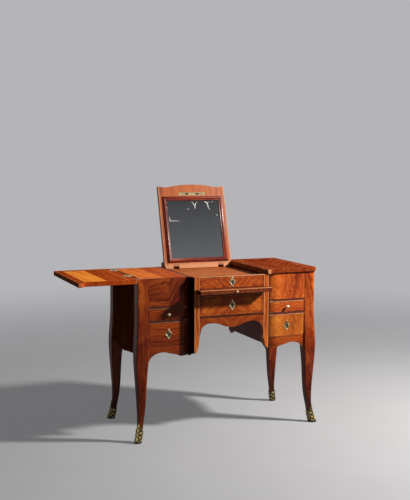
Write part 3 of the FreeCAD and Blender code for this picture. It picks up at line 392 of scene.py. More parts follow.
class Field:
    """A number that varies over a surface, as a node output with plain arithmetic."""

    def __init__(self, sheet, socket):
        self.sheet = sheet
        self.socket = socket

    def __add__(self, other):
        return self.sheet.calc("ADD", self, other)

    def __sub__(self, other):
        return self.sheet.calc("SUBTRACT", self, other)

    def __rsub__(self, other):
        return self.sheet.calc("SUBTRACT", other, self)

    def __mul__(self, other):
        return self.sheet.calc("MULTIPLY", self, other)

    def __abs__(self):
        return self.sheet.calc("ABSOLUTE", self)

    def below(self, limit):
        """One where this is less than a limit, else zero."""
        return self.sheet.calc("LESS_THAN", self, limit)

    def lesser(self, other):
        """The lesser of two fields."""
        return self.sheet.calc("MINIMUM", self, other)

    def greater(self, other):
        """The greater of two fields."""
        return self.sheet.calc("MAXIMUM", self, other)


class Finish:
    """One material, built from object coordinates."""

    def __init__(self, name):
        self.material = bpy.data.materials.new(name)
        self.material.use_nodes = True
        self.tree = self.material.node_tree
        self.tree.nodes.clear()
        place = self.add("ShaderNodeTexCoord")
        split = self.add("ShaderNodeSeparateXYZ", Vector=place.outputs["Object"])
        self.place = place.outputs["Object"]
        self.x, self.y, self.z = (Field(self, socket) for socket in split.outputs)

    def add(self, kind, **inputs):
        """Adds a node and feeds its named inputs."""
        node = self.tree.nodes.new(kind)
        for name, value in inputs.items():
            self.feed(node.inputs[name.replace("_", " ")], value)
        return node

    def feed(self, socket, value):
        """Links an output to a socket, or sets its value."""
        if isinstance(value, Field):
            value = value.socket
        if isinstance(value, bpy.types.NodeSocket):
            self.tree.links.new(value, socket)
        elif socket.type == "RGBA":
            socket.default_value = (*value, 1.0)
        else:
            socket.default_value = value

    def calc(self, operation, *values):
        """One step of arithmetic."""
        node = self.tree.nodes.new("ShaderNodeMath")
        node.operation = operation
        for socket, value in zip(node.inputs, values):
            self.feed(socket, value)
        return Field(self, node.outputs[0])

    def span(self, value, start, stop):
        """Rises smoothly from nought at one value to one at another."""
        node = self.add("ShaderNodeMapRange", Value=value, From_Min=start, From_Max=stop)
        node.interpolation_type = "SMOOTHSTEP"
        return Field(self, node.outputs[0])

    def vector(self, x, y, z):
        """Joins three fields into a vector."""
        return self.add("ShaderNodeCombineXYZ", X=x, Y=y, Z=z).outputs[0]

    def noise(self, vector, scale=1.0, detail=3.0, roughness=0.5, distortion=0.0):
        """Soft noise from nought to one."""
        node = self.add("ShaderNodeTexNoise", Vector=vector, Scale=scale, Detail=detail,
                        Roughness=roughness, Distortion=distortion)
        return Field(self, node.outputs[0])

    def cloud(self, scale, detail=3.0, roughness=0.5):
        """Soft noise from nought to one over the object."""
        return self.noise(self.place, scale, detail, roughness)

    def mix(self, factor, first, second, blend="MIX"):
        """Mixes two colours."""
        node = self.tree.nodes.new("ShaderNodeMix")
        node.data_type = "RGBA"
        node.blend_type = blend
        colours = [socket for socket in node.inputs if socket.type == "RGBA"]
        for socket, value in zip((node.inputs[0], *colours), (factor, first, second)):
            self.feed(socket, value)
        return next(socket for socket in node.outputs if socket.type == "RGBA")

    def shade(self, factor, colour, tint):
        """Multiplies a colour by a tint as far as a factor says."""
        return self.mix(factor, colour, tint, "MULTIPLY")

    def ramp(self, factor, stops):
        """A smooth run of colours along a field."""
        node = self.tree.nodes.new("ShaderNodeValToRGB")
        self.feed(node.inputs[0], factor)
        elements = node.color_ramp.elements
        while len(elements) < len(stops):
            elements.new(0.5)
        for element, (position, colour) in zip(elements, stops):
            element.position = position
            element.color = (*colour, 1.0)
        return node.outputs[0]

    def choose(self, mask, inside, outside):
        """One field where a mask is one, another where it is nought."""
        return outside + mask * (inside - outside)

    def done(self, colour, roughness, height=None, bump=0.0, metallic=0.0, coat=0.0,
             coat_roughness=0.1, specular=0.5, veil=None):
        """Ends the material in one shader, veiled by a glowing colour where one is given.

        A veil is a field and a colour: the glow's share at each place, and its colour.
        """
        shader = self.add("ShaderNodeBsdfPrincipled", Base_Color=colour, Roughness=roughness,
                          Metallic=metallic, Coat_Weight=coat, Coat_Roughness=coat_roughness,
                          Specular_IOR_Level=specular)
        if height is not None:
            relief = self.add("ShaderNodeBump", Strength=bump, Distance=0.001, Height=height)
            self.tree.links.new(relief.outputs[0], shader.inputs["Normal"])
        if veil is not None:
            glow = self.add("ShaderNodeEmission", Color=veil[1])
            shader = blend_shaders(self.tree, veil[0].socket, shader, glow)
        output = self.tree.nodes.new("ShaderNodeOutputMaterial")
        self.tree.links.new(shader.outputs[0], output.inputs[0])
        return self.material


def blend_shaders(tree, factor, first, second):
    """A node that mixes two shaders by a socket."""
    blend = tree.nodes.new("ShaderNodeMixShader")
    for socket, value in zip(blend.inputs, (factor, first.outputs[0], second.outputs[0])):
        tree.links.new(value, socket)
    return blend


def wood(finish, along, across, depth, palette, coarse=1.0, contrast=1.0, wild=0.0):
    """Colour and relief of wood whose grain runs with the first coordinate.

    Broad bent figure, narrow streaks, hair streaks and fine pores are noises stretched
    along the grain; their weighted sum runs through the palette from dark to light.
    Wild grain is bent much further, by a rounder noise.
    """

    def stretched(scales, beside, **settings):
        """Noise whose scales along and across the grain differ."""
        length, width = scales
        return finish.noise(finish.vector(along * length, beside * width, depth * width),
                            **settings)

    dark, mid, light = palette
    bend = stretched(BEND, across, detail=2.0)
    bent = across + bend * (0.035 * coarse)
    if wild:
        curl = finish.noise(finish.vector(along * CURL[0], across * CURL[1], depth * CURL[0]),
                            detail=4.0, roughness=0.6)
        bent = bent + (curl - 0.5) * (0.11 * wild)
    figure = finish.noise(finish.vector(along * (FIGURE[0] / coarse), bent * (FIGURE[1] / coarse),
                                        depth * FIGURE[1]), detail=4.0, roughness=0.55,
                          distortion=0.35)
    streak = stretched(STREAK, bent)
    hair = stretched(HAIR, bent, roughness=0.65)
    pores = stretched(PORES, bent, detail=2.0)
    cloud = stretched(CLOUD, across, detail=2.0)
    tone = (figure - 0.5) * (1.3 * contrast) + (streak - 0.5) * (1.1 * contrast) \
        + (hair - 0.5) * 0.75 + (cloud - 0.5) * (0.7 * contrast) + 0.5
    colour = finish.ramp(tone, [(0.18, dark), (0.5, mid), (0.82, light)])
    colour = finish.mix(pores.below(0.42) * 0.45, colour, scaled(dark, 0.5))
    return colour, pores * 0.5 + streak * 0.3 + hair * 0.2


def scaled(colour, *parts):
    """A colour with its parts scaled, by one number or by three, and kept below one."""
    return tuple(np.minimum(np.array(colour) * (parts[0] if len(parts) == 1 else parts), 1.0))


def knots(finish, u, v, colour, dark, amount):
    """Small dark eyes with a paler ring, at the cells of a bent pattern of points.

    Distance from the nearest point gives the eye, kept only where a slow noise is low.
    """
    warp = finish.noise(finish.vector(u * 22.0, v * 22.0, 0.0))
    place = finish.vector(u * 38.0 + warp * 1.4, v * 38.0 + warp * 1.1, 0.0)
    cells = finish.add("ShaderNodeTexVoronoi", Vector=place, Scale=1.0)
    reach = Field(finish, cells.outputs["Distance"])
    slow = finish.noise(finish.vector(u * 9.0, v * 9.0, 4.0), detail=1.0)
    kept = slow.below(0.36 + amount * 0.14)
    colour = finish.mix(reach.below(0.34) * kept * 0.35, colour, scaled(dark, 1.6))
    return finish.mix(reach.below(0.17) * kept * 0.75, colour, scaled(dark, 0.8))


def turned_grain(u, v, angle):
    """Coordinates along and across a grain that is turned in its plane."""
    cosine = math.cos(angle)
    sine = math.sin(angle)
    return u * cosine + v * sine, v * cosine - u * sine


def edge_distance(u, v, bounds):
    """Distance in from the nearest edge of a rectangle, across each pair of edges."""
    (u_low, u_high), (v_low, v_high) = bounds
    return (u - u_low).lesser(u_high - u), (v - v_low).lesser(v_high - v)


def veneer(name, plane, bounds, palette, angle=0.0, match=(True, False), band=0.0, line=0.0,
           halves=None, band_palette=None, coarse=1.0, contrast=1.0, edge=0.0012, wild=0.0,
           eyes=0.0, grime_and_gap_shade=0.0, foot=0.0, second=None, gloss=1.0):
    """Veneer laid on one plane, mirrored about its middle, with a cross-grained border.

    The two coordinates of the plane are folded about the middle for a book match and
    turned by the grain's angle; a second angle lays the other half differently. Nearer
    to an edge than the band's width, the grain turns across the border instead. A thin
    light line follows the band, and the edge is pale as worn veneer and as a painted
    highlight. Old dirt and painted shade darken the edges, and a painted shadow darkens
    the foot, in the gap below a drawer.
    """
    finish = Finish(name)
    u, v, depth = plane(finish)
    (u_low, u_high), (v_low, v_high) = bounds
    from_middle = u - (u_low + u_high) / 2
    side = from_middle.below(0.0)
    across_u = abs(from_middle) if match[0] else from_middle
    from_middle_v = v - (v_low + v_high) / 2
    across_v = abs(from_middle_v) if match[1] else from_middle_v
    along, across = turned_grain(across_u, across_v, angle)
    if second is not None:
        other_along, other_across = turned_grain(across_u + HALF_SHIFT, across_v, second)
        along = finish.choose(side, other_along, along)
        across = finish.choose(side, other_across, across)
    near_u, near_v = edge_distance(u, v, bounds)
    near = near_u.lesser(near_v)
    light = tuple(finishes().string_and_highlight)
    if band > 0.0:
        in_band = near.below(band)
        beside = near_u.below(near_v)
        along = finish.choose(in_band, finish.choose(beside, u, v), along)
        across = finish.choose(in_band, finish.choose(beside, v, u), across)
    colour, relief = wood(finish, along, across, depth * 0.6, palette, coarse, contrast, wild)
    if eyes:
        colour = knots(finish, u, v, colour, palette[0], eyes)
    if halves:
        colour = finish.shade(1.0, colour, finish.mix(side, halves[1], halves[0]))
    if band > 0.0:
        other, _ = wood(finish, along, across, depth * 0.6, band_palette or palette, 0.5,
                        contrast * 0.8)
        colour = finish.mix(in_band, colour, other)
        colour = finish.mix(abs(near - band).below(JOINT_LINE) * 0.6, colour, palette[0])
    # Dirt along the edges, which also paints the shade in the joints between parts.
    if grime_and_gap_shade > 0.0:
        ragged = near + (finish.cloud(90.0) - 0.5) * (grime_and_gap_shade * 1.2)
        dirt = finish.span(ragged, grime_and_gap_shade, 0.0)
        colour = finish.mix(dirt * 0.9, colour, scaled(palette[0], 0.25))
    # Painted shadow: a dark strip along the foot of a drawer front, in the gap below it.
    if foot > 0.0:
        colour = finish.mix((v - v_low).below(foot) * 0.85, colour, GAP_SHADOW)
    if line > 0.0:
        colour = finish.mix(abs(near - band).below(line) * 0.8, colour, light)
    # A pale edge: worn veneer, and a painted highlight on the arris.
    if edge > 0.0:
        rubbed = finish.span(finish.cloud(38.0, 4.0), 0.47, 0.66)
        colour = finish.mix(near.below(edge) * (rubbed * 0.35 + 0.25), colour, light)
    return finish.done(colour, finish.cloud(14.0) * 0.2 + (0.5 - gloss * 0.2), relief, 0.06,
                       coat=COAT * gloss, coat_roughness=0.14, specular=SPECULAR * gloss)


def plane_xz(finish):
    """The front's plane."""
    return finish.x, finish.z, finish.y


def plane_yz(finish):
    """An end's plane."""
    return finish.y, finish.z, finish.x


def plane_xy(finish):
    """The top's plane."""
    return finish.x, finish.y, finish.z


def plane_mirror(finish):
    """The leaning mirror's plane: across, and up along its face."""
    lean = sizes().lean
    pivot = mirror_pivot()
    back = finish.y - pivot.y
    up = finish.z - pivot.z
    return (finish.x, back * math.sin(lean) + up * math.cos(lean),
            back * math.cos(lean) - up * math.sin(lean))


def mirror_pivot():
    """The line that the mirror turns on, from its joint."""
    joint = next(joint for joint in frame["joints"] if joint["name"] == "mirror_hinge")
    return Vector(joint["pos_m"])


def on_mirror(points):
    """Moves points from the mirror's own plane (across, up, out) to its leaning place."""
    lean = sizes().lean
    pivot = mirror_pivot()
    across, up, out = points[..., 0], points[..., 1], points[..., 2]
    y = pivot.y + up * math.sin(lean) - out * math.cos(lean)
    z = pivot.z + up * math.cos(lean) + out * math.sin(lean)
    return np.stack([across, y, z], axis=-1)


def mirror_bounds(node):
    """The lowest and highest places of a node across, up and out of the mirror's plane."""
    mesh = NODES[node].data
    flat = np.empty(len(mesh.vertices) * 3)
    mesh.vertices.foreach_get("co", flat)
    lean = sizes().lean
    x, y, z = (flat.reshape(-1, 3) - np.array(mirror_pivot())).T
    turned = np.stack([x, y * math.sin(lean) + z * math.cos(lean),
                       z * math.sin(lean) - y * math.cos(lean)], axis=-1)
    return turned.min(axis=0), turned.max(axis=0)


def face_bounds(node, first, second):
    """A node's lowest and highest places along two axes."""
    low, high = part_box(node)
    return (low[first], high[first]), (low[second], high[second])


def front_palette():
    """The woods of the fronts."""
    chosen = finishes()
    return tuple(chosen.front_dark), tuple(chosen.front_mid), tuple(chosen.front_light)


def red_palette():
    """The woods of the flaps."""
    chosen = finishes()
    return tuple(chosen.red_dark), tuple(chosen.red_mid), tuple(chosen.red_light)


def oak_palette():
    """Drawer oak from its own colour."""
    oak = finishes().oak
    return scaled(oak, 0.45), tuple(oak), scaled(oak, 1.5)


def gold_palette():
    """Golden veneer, between the front's streaks and its own ground."""
    gold = finishes().gold_mid
    return scaled(gold, 0.55, 0.4, 0.35), scaled(gold, 0.85, 0.75, 0.75), tuple(gold)


def tinted(palette, red, green, blue):
    """A palette with each colour's three parts scaled."""
    return tuple(scaled(colour, red, green, blue) for colour in palette)


def board_finish(name, axis, palette, gloss=0.0, front=None):
    """Plain solid wood whose grain runs along one axis, with a veneered front edge darkened as
    painted shade.
    """
    finish = Finish(name)
    order = {"x": (finish.x, finish.y, finish.z), "y": (finish.y, finish.x, finish.z)}[axis]
    colour, relief = wood(finish, *order, palette, coarse=0.8)
    # The front edge is darkened as painted shade: the black gap between drawers.
    if front is not None:
        edge, _ = wood(finish, finish.x, finish.z, finish.y,
                       tinted(front_palette(), 0.24, 0.15, 0.15), 0.6, 0.7)
        colour = finish.mix(finish.y.below(front), colour, edge)
    return finish.done(colour, finish.cloud(9.0, 4.0) * 0.2 + (0.55 - gloss * 0.25), relief,
                       0.12, coat=gloss * 0.2, coat_roughness=0.2, specular=0.25)


def brass_finish(name, brass, relief_scale, dull=0.0, dirt=0.3, middle=0.0):
    """Old brass: bright where it is rubbed, brown in its hollows and dull all over.

    Within a middle width of the object it is brown with age.
    """
    finish = Finish(name)
    cloud = finish.cloud(70.0, 4.0)
    grain = finish.cloud(relief_scale)
    colour = finish.ramp(cloud, [(dirt, scaled(brass, 0.3, 0.24, 0.2)), (0.5, tuple(brass)),
                                 (0.75, scaled(brass, 1.4))])
    roughness = cloud * 0.25 + (0.3 + dull)
    metallic = 0.85
    if middle > 0.0:
        brown = abs(finish.x).below(middle)
        colour = finish.mix(brown * 0.93, colour, (0.3, 0.11, 0.035))
        roughness = roughness + brown * 0.3
        metallic = metallic - brown * 0.8
    return finish.done(colour, roughness, grain, 0.12, metallic=metallic)


def steel_finish():
    """Dark iron of the locks."""
    finish = Finish("lock iron")
    cloud = finish.cloud(90.0, 4.0)
    colour = finish.ramp(cloud, [(0.35, (0.05, 0.045, 0.04)), (0.7, (0.2, 0.19, 0.18))])
    return finish.done(colour, cloud * 0.4 + 0.3, cloud, 0.1, metallic=1.0)


def glass_finish():
    """Old mirror glass: grey silver with small dark specks, kept dark and lighter towards its foot
    as a painted reflection of a dark room.
    """
    finish = Finish("old mirror glass")
    glass = finishes().glass
    cloud = finish.cloud(7.0, 4.0, 0.6)
    # Painted reflection: the silver is kept dark grey and grows lighter towards its foot.
    tone = cloud * 0.25 + (0.9 - plane_mirror(finish)[1] * 2.4)
    colour = finish.ramp(tone, [(0.1, scaled(glass, 0.55)), (0.9, scaled(glass, 1.6))])
    colour = finish.mix(finish.cloud(420.0, 2.0).below(0.29) * 0.5, colour, (0.02, 0.018, 0.016))
    return finish.done(colour, cloud * 0.08 + 0.05, metallic=1.0)


def mark_finish():
    """Bare places in the silver, where pale backing shows."""
    finish = Finish("worn silver")
    colour = finish.ramp(finish.cloud(300.0), [(0.25, (0.5, 0.48, 0.44)), (0.7, (0.85, 0.84, 0.8))])
    return finish.done(colour, 0.6)


def hole_shade_finish():
    """Painted shade: a dark sheet for the black inside a slot or keyhole."""
    finish = Finish("slot dark")
    colour = finish.ramp(finish.cloud(200.0), [(0.3, (0.006, 0.005, 0.004)),
                                               (0.7, (0.02, 0.016, 0.012))])
    return finish.done(colour, 0.8)


def leather_finish():
    """The slide: cross-grained wood round a leather lining with a plain gilt line."""
    finish = Finish("slide")
    low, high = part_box("writing_slide")
    near_x, near_y = edge_distance(finish.x, finish.y, ((low.x, high.x), (low.y, high.y)))
    near = near_x.lesser(near_y)
    beside = near_x.below(near_y)
    along = finish.choose(beside, finish.x, finish.y)
    across = finish.choose(beside, finish.y, finish.x)
    border, relief = wood(finish, along, across, finish.z,
                          tinted(front_palette(), 0.34, 0.27, 0.32), 0.5)
    leather = finish.ramp(finish.cloud(12.0, 4.0), [(0.3, (0.055, 0.02, 0.01)),
                                                    (0.7, (0.13, 0.05, 0.022))])
    inside = 1.0 - near.below(LINING_EDGE)
    gilt = abs(near - GILT_EDGE).below(GILT_LINE)
    leather = finish.mix(gilt, leather, (0.5, 0.33, 0.1))
    colour = finish.mix(inside, border, leather)
    arris = near.below(ARRIS) * finish.span(finish.z, high.z - 0.0022, high.z - 0.0006)
    colour = finish.mix(arris * 0.7, colour, tuple(finishes().string_and_highlight))
    return finish.done(colour, inside * 0.22 + 0.3, relief + inside * finish.cloud(650.0), 0.08,
                       coat=0.08, coat_roughness=0.2, specular=0.2)


def tray_finish(name, front):
    """Drawer oak, with the ends of the front's dovetails along its front corners."""
    finish = Finish(name)
    colour, relief = wood(finish, finish.y, finish.z, finish.x, oak_palette(), 0.7)
    from_front = finish.y - front
    tooth = finish.calc("PINGPONG", finish.z, DOVETAIL)
    tail = tooth.below(from_front * DOVETAIL_FLARE + DOVETAIL_NECK)
    joint = from_front.below(DOVETAIL) * tail
    colour = finish.mix(joint * 0.6, colour, scaled(finishes().oak, 0.35))
    return finish.done(colour, finish.cloud(10.0, 4.0) * 0.2 + 0.55, relief, 0.12, specular=0.3)


def dress(material, *names):
    """Gives CAD nodes a material."""
    for name in names:
        data = NODES[name].data
        data.materials.clear()
        data.materials.append(material)


# ---- Surfaces


def quads_of(rows, columns, closed_rows=False, closed_columns=True):
    """Quad corners of a grid of points, in rows and columns."""
    row = np.arange(rows if closed_rows else rows - 1)
    column = np.arange(columns if closed_columns else columns - 1)
    r, c = np.meshgrid(row, column, indexing="ij")
    right = (c + 1) % columns
    down = (r + 1) % rows
    return np.stack([r * columns + c, r * columns + right, down * columns + right,
                     down * columns + c], axis=-1).reshape(-1, 4)


def make_piece(name, patches, material, body, sharp=35.0, relief=None):
    """Joins grids of points into one finished object that rides on a body.

    Each patch is an array of rows, columns and places, closed or open each way; a cap
    closes a first or last row with one face. A relief is one number for each point,
    kept on the mesh for the finish.
    """
    points = []
    polygons = []
    start = 0
    for grid, closed_rows, closed_columns, caps in patches:
        rows, columns = grid.shape[:2]
        points.append(grid.reshape(-1, 3))
        polygons.extend((quads_of(rows, columns, closed_rows, closed_columns) + start).tolist())
        if caps:
            polygons.append(list(range(start + columns - 1, start - 1, -1)))
            last = start + (rows - 1) * columns
            polygons.append(list(range(last, last + columns)))
        start += rows * columns
    mesh = bpy.data.meshes.new(name)
    mesh.from_pydata(np.concatenate(points).tolist(), [], polygons)
    mesh.validate()
    mesh.materials.append(material)
    if relief is not None:
        layer = mesh.attributes.new("relief", "FLOAT", "POINT")
        layer.data.foreach_set("value", relief.astype(np.float32).ravel())
    piece = bpy.data.objects.new(name, mesh)
    bpy.context.scene.collection.objects.link(piece)
    turn_outwards(mesh)
    mesh.shade_smooth()
    mesh.set_sharp_from_angle(angle=math.radians(sharp))
    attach(piece, body)
    return piece


def turn_outwards(mesh):
    """Makes every face of the mesh's closed shells point outwards."""
    work = bmesh.new()
    work.from_mesh(mesh)
    bmesh.ops.recalc_face_normals(work, faces=work.faces)
    work.to_mesh(mesh)
    work.free()


def smooth_stations(table, heights):
    """Reads a table of stations at any heights, by a natural cubic through its rows.

    Between two stations each value is a cubic whose second derivative runs straight
    from one station to the next and is nought at both ends.
    """
    order = np.argsort(table[:, 0])
    known = table[order]
    x = known[:, 0]
    y = known[:, 1:]
    step = np.diff(x)
    count = len(x)
    system = np.eye(count)
    right = np.zeros_like(y)
    inner = np.arange(1, count - 1)
    system[inner, inner - 1] = step[:-1]
    system[inner, inner] = 2.0 * (step[:-1] + step[1:])
    system[inner, inner + 1] = step[1:]
    slope = np.diff(y, axis=0) / step[:, None]
    right[1:-1] = 6.0 * np.diff(slope, axis=0)
    second = np.linalg.solve(system, right)
    index = np.clip(np.searchsorted(x, heights) - 1, 0, count - 2)
    width = step[index][..., None]
    low = (x[index + 1] - heights)[..., None]
    high = (heights - x[index])[..., None]
    return (second[index] * low ** 3 + second[index + 1] * high ** 3) / (6.0 * width) \
        + (y[index] / width - second[index] * width / 6.0) * low \
        + (y[index + 1] / width - second[index + 1] * width / 6.0) * high


def leg_columns(table, heights, side, end, steps, rounding):
    """Places round a leg's section at one height for each column.

    A section is a rectangle whose outer faces stand beyond the case by the station's
    share and whose width is the station's share of the post. A last share is cut off
    the two corners beside the toe.
    """
    chosen = sizes()
    shares = smooth_stations(table, heights / chosen.knee)
    out, wide = shares[..., 0], shares[..., 1]
    cut = shares[..., 2] if shares.shape[-1] > 2 else np.zeros_like(out)
    corner = corner_shares(np.maximum(cut, rounding), rounding, steps)
    outer_x = chosen.case_half + chosen.post_width * out
    outer_y = chosen.case_half_depth + chosen.post_depth * out
    inner_x = outer_x - chosen.post_width * wide
    inner_y = outer_y - chosen.post_depth * wide
    x = side * (inner_x + (outer_x - inner_x) * corner[:, 0])
    y = end * (inner_y + (outer_y - inner_y) * corner[:, 1])
    return np.stack([x, y, heights], axis=-1)


def corner_shares(cut, rounding, steps):
    """Places round a unit square, from its toe corner at (1, 1) and on.

    The toe and its opposite are quarter circles. The other two corners are cut off by
    a line that bulges a little, as a half sine. Each corner and each straight side has
    the same number of places.
    """
    turn = np.linspace(0.0, math.pi / 2, steps)
    share = np.linspace(0.0, 1.0, steps)
    between = np.linspace(0.0, 1.0, steps + 2)[1:-1]
    toe = np.stack([1.0 - rounding + rounding * np.cos(turn),
                    1.0 - rounding + rounding * np.sin(turn)], axis=-1)
    bulge = 0.1 * np.sin(share * math.pi)
    _, top, first, left, _, foot, second, right = cut.reshape(8, steps)
    one, nought = np.ones(steps), np.zeros(steps)
    return np.concatenate([
        toe,
        np.stack([(1.0 - rounding) * (1.0 - between) + top * between, one], axis=-1),
        np.stack([first * (1.0 - share - bulge), 1.0 - first * (share - bulge)], axis=-1),
        np.stack([nought, (1.0 - left) * (1.0 - between) + rounding * between], axis=-1),
        1.0 - toe,
        np.stack([rounding * (1.0 - between) + (1.0 - foot) * between, nought], axis=-1),
        np.stack([1.0 - second * (1.0 - share - bulge), second * (share - bulge)], axis=-1),
        np.stack([one, right * (1.0 - between) + (1.0 - rounding) * between], axis=-1),
    ])


def joint_height(x, y, side, end):
    """Height of the joint between leg and shoe: low all round, with a tall leaf's tip.

    The tip is a bell curve across the diagonal through the toe, on the toe's side only.
    """
    chosen = sizes()
    away_x = x * side - (chosen.case_half - chosen.post_width * LEG_MIDDLE)
    away_y = y * end - (chosen.case_half_depth - chosen.post_depth * LEG_MIDDLE)
    ahead = (away_x + away_y) / math.sqrt(2.0)
    across = (away_x - away_y) / math.sqrt(2.0)
    tip = np.exp(-(across / chosen.tip_width) ** 2) * np.clip(ahead / TIP_WAY, 0.0, 1.0)
    return chosen.shoe + JOINT_SLOPE * ahead + chosen.tip * tip


def height_at_joint(table, side, end, steps, rounding):
    """The joint's height at each column of a section, found by a few repeats."""
    height = np.full(steps * 8, sizes().shoe)
    for _ in range(12):
        place = leg_columns(table, height, side, end, steps, rounding)
        height = joint_height(place[:, 0], place[:, 1], side, end)
    return height


def post_finish(name, palette, wild, ankle, eyes=0.0):
    """Post and leg: upright grain, a slanting joint at the knee and a dark ankle."""
    finish = Finish(name)
    colour, relief = wood(finish, finish.z + abs(finish.x) * 0.25, finish.x + finish.z * 0.05,
                          finish.y, palette, 0.9, 1.0, wild)
    if eyes:
        colour = knots(finish, finish.x + finish.y, finish.z, colour, palette[0], eyes)
    for share, (heights, tint) in ((0.9, LEG_SHADE), (ankle, ANKLE_SHADE)):
        colour = finish.shade(finish.span(finish.z, *heights) * share, colour, tint)
    slant = finish.z - (sizes().case_half - abs(finish.x)) * KNEE_SLOPE \
        - sizes().knee * KNEE_SHARE
    colour = finish.shade(slant.below(0.0) * 0.8, colour, KNEE_TINT)
    colour = finish.mix(abs(slant).below(JOINT_LINE) * 0.8, colour, JOINT_DARK)
    return finish.done(colour, finish.cloud(14.0) * 0.18 + 0.3, relief, 0.06, coat=COAT,
                       coat_roughness=0.14, specular=SPECULAR)


def make_legs():
    """Four posts with their curved legs, smooth along their whole height."""
    chosen = sizes()
    # The left legs' veneer is darker than the right's: partly its own tone, partly painted shade on
    # the side away from the key light.
    left = tinted(front_palette(), 0.62, 0.5, 0.46)
    right = tinted(front_palette(), 0.86, 0.76, 0.78)
    materials = {-1: post_finish("left leg veneer", left, 0.6, 0.45),
                 1: post_finish("right leg veneer", right, 1.0, 1.0, 0.4)}
    rail_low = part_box("well_cover_left")[0].z
    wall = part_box("side_panel_left")[1].x
    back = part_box("back_panel")[0].y
    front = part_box("false_front_left")[1].y
    for place, (side, end) in CORNERS.items():
        foot = height_at_joint(LEG_STATIONS, side, end, *LEG_CORNER)
        share = np.linspace(0.0, 1.0, LEG_ROWS)[:, None]
        heights = foot[None, :] + (chosen.knee * LEG_STATIONS[0, 0] - foot[None, :]) * share
        curve = np.stack([leg_columns(LEG_STATIONS, row, side, end, *LEG_CORNER)
                          for row in heights])
        upper = curve[-1:].copy()
        upper[..., 2] = rail_low
        grid = np.concatenate([curve, upper])
        inner_x = (chosen.case_half - chosen.post_width) * side
        inner_y = (chosen.case_half_depth - chosen.post_depth) * end
        outer_x = chosen.case_half * side
        outer_y = chosen.case_half_depth * end
        notch_x = -wall * side
        notch_y = back if end > 0 else front
        top = np.array([(inner_x, notch_y), (notch_x, notch_y), (notch_x, inner_y),
                        (outer_x, inner_y), (outer_x, outer_y), (inner_x, outer_y)])
        rim = np.stack([np.column_stack([top, np.full(len(top), level)])
                        for level in (rail_low, chosen.rim)])
        patches = [(grid, False, True, True), (rim, False, True, True)]
        piece = make_piece(f"post_and_leg_{place}", patches, materials[side], "case",
                           sharp=28.0)
        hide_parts(f"leg_{place}")


def shoe_finish():
    """Cast brass: black in the hollows of its relief, rubbed bright on the high places."""
    finish = Finish("shoe bronze")
    bronze = finishes().bronze
    attribute = finish.add("ShaderNodeAttribute")
    attribute.attribute_name = "relief"
    height = Field(finish, attribute.outputs["Fac"])
    cloud = finish.cloud(110.0, 4.0) - 0.5
    colour = finish.ramp(height + cloud * 0.5, [(0.25, scaled(bronze, 0.06, 0.05, 0.04)),
                                                (0.6, scaled(bronze, 0.5, 0.5, 0.32)),
                                                (1.0, scaled(bronze, 2.2, 2.5, 1.9))])
    return finish.done(colour, 0.55 - height * 0.2 + cloud * 0.2, finish.cloud(900.0), 0.15,
                       metallic=0.8)


def make_shoes():
    """Cast brass shoes: foliage on a swelling foot, with a leaf's tip up the toe corner.

    The relief is added outwards. It is a narrow middle rib on the toe, round bumps that
    are a cosine of the height times a cosine of the way round, and a bead at the joint.
    It fades to nothing at the sole.
    """
    material = shoe_finish()
    steps, rounding = SHOE_CORNER
    corner = corner_shares(np.full(steps * 8, 0.4), rounding, steps)
    angle = np.arctan2(corner[:, 1] - 0.5, corner[:, 0] - 0.5) - math.pi / 4
    angle = ((angle + math.pi) % math.tau - math.pi)[None, :]
    rib = np.exp(-(angle / RIB_WIDTH) ** 2)
    share = np.linspace(0.0, 1.0, SHOE_ROWS)[:, None]
    rise = np.clip(share / FOLIAGE_START, 0.0, 1.0) * (share < FOLIAGE_END)
    rim_bead = np.exp(-((share - RIM_MIDDLE) / RIM_SPREAD) ** 2)
    for place, (side, end) in CORNERS.items():
        heights = height_at_joint(SHOE_STATIONS, side, end, *SHOE_CORNER)[None, :] * share
        grid = np.stack([leg_columns(SHOE_STATIONS, row, side, end, *SHOE_CORNER)
                         for row in heights])
        away = grid - grid.mean(axis=1, keepdims=True)
        away[..., 2] = 0.0
        away /= np.linalg.norm(away, axis=-1, keepdims=True)
        bumps = np.cos(heights * BUMP_TURNS + np.abs(angle) * 1.5) * np.cos(angle * 5.0)
        foliage = (0.5 + 0.5 * rib + 0.5 * bumps * (1.0 - rib)) * rise
        relief = FOLIAGE_RISE * foliage + RIM_RISE * rim_bead
        piece = make_piece(f"cast_shoe_{place}",
                           [(grid + away * relief[..., None], False, True, True)], material,
                           "case", 50.0, np.clip(relief / FOLIAGE_RISE, 0.0, 1.0))
        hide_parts(f"sabot_{place}")


def half_round(line, normal, half, height, level, steps=7):
    """Half an ellipse at each point of a flat line in the front's plane.

    It lies across the line's normal and its height stands out towards the front.
    """
    turn = np.linspace(0.0, math.pi, steps)
    flat = line[:, None, :] + np.cos(turn)[None, :, None] * (normal * half)[:, None, :]
    y = np.broadcast_to(level - np.sin(turn)[None, :] * height, flat.shape[:2])
    return np.stack([flat[..., 0], y, flat[..., 1]], axis=-1)


def loop_tube(path, width, height, level):
    """A half-round bar carried along a closed flat path in the front's plane.

    At each point the normal is square to the mean of the ways ahead and behind, and
    the bar is stretched across it at a corner, as in a mitre.
    """
    ahead = np.roll(path, -1, axis=0) - path
    behind = path - np.roll(path, 1, axis=0)
    ahead /= np.linalg.norm(ahead, axis=1, keepdims=True)
    behind /= np.linalg.norm(behind, axis=1, keepdims=True)
    tangent = ahead + behind
    tangent /= np.linalg.norm(tangent, axis=1, keepdims=True)
    normal = np.stack([tangent[:, 1], -tangent[:, 0]], axis=-1)
    stretch = 1.0 / np.maximum(np.abs(np.sum(tangent * ahead, axis=1)), 0.5)
    return half_round(path, normal, stretch[:, None] * width / 2, height, level)


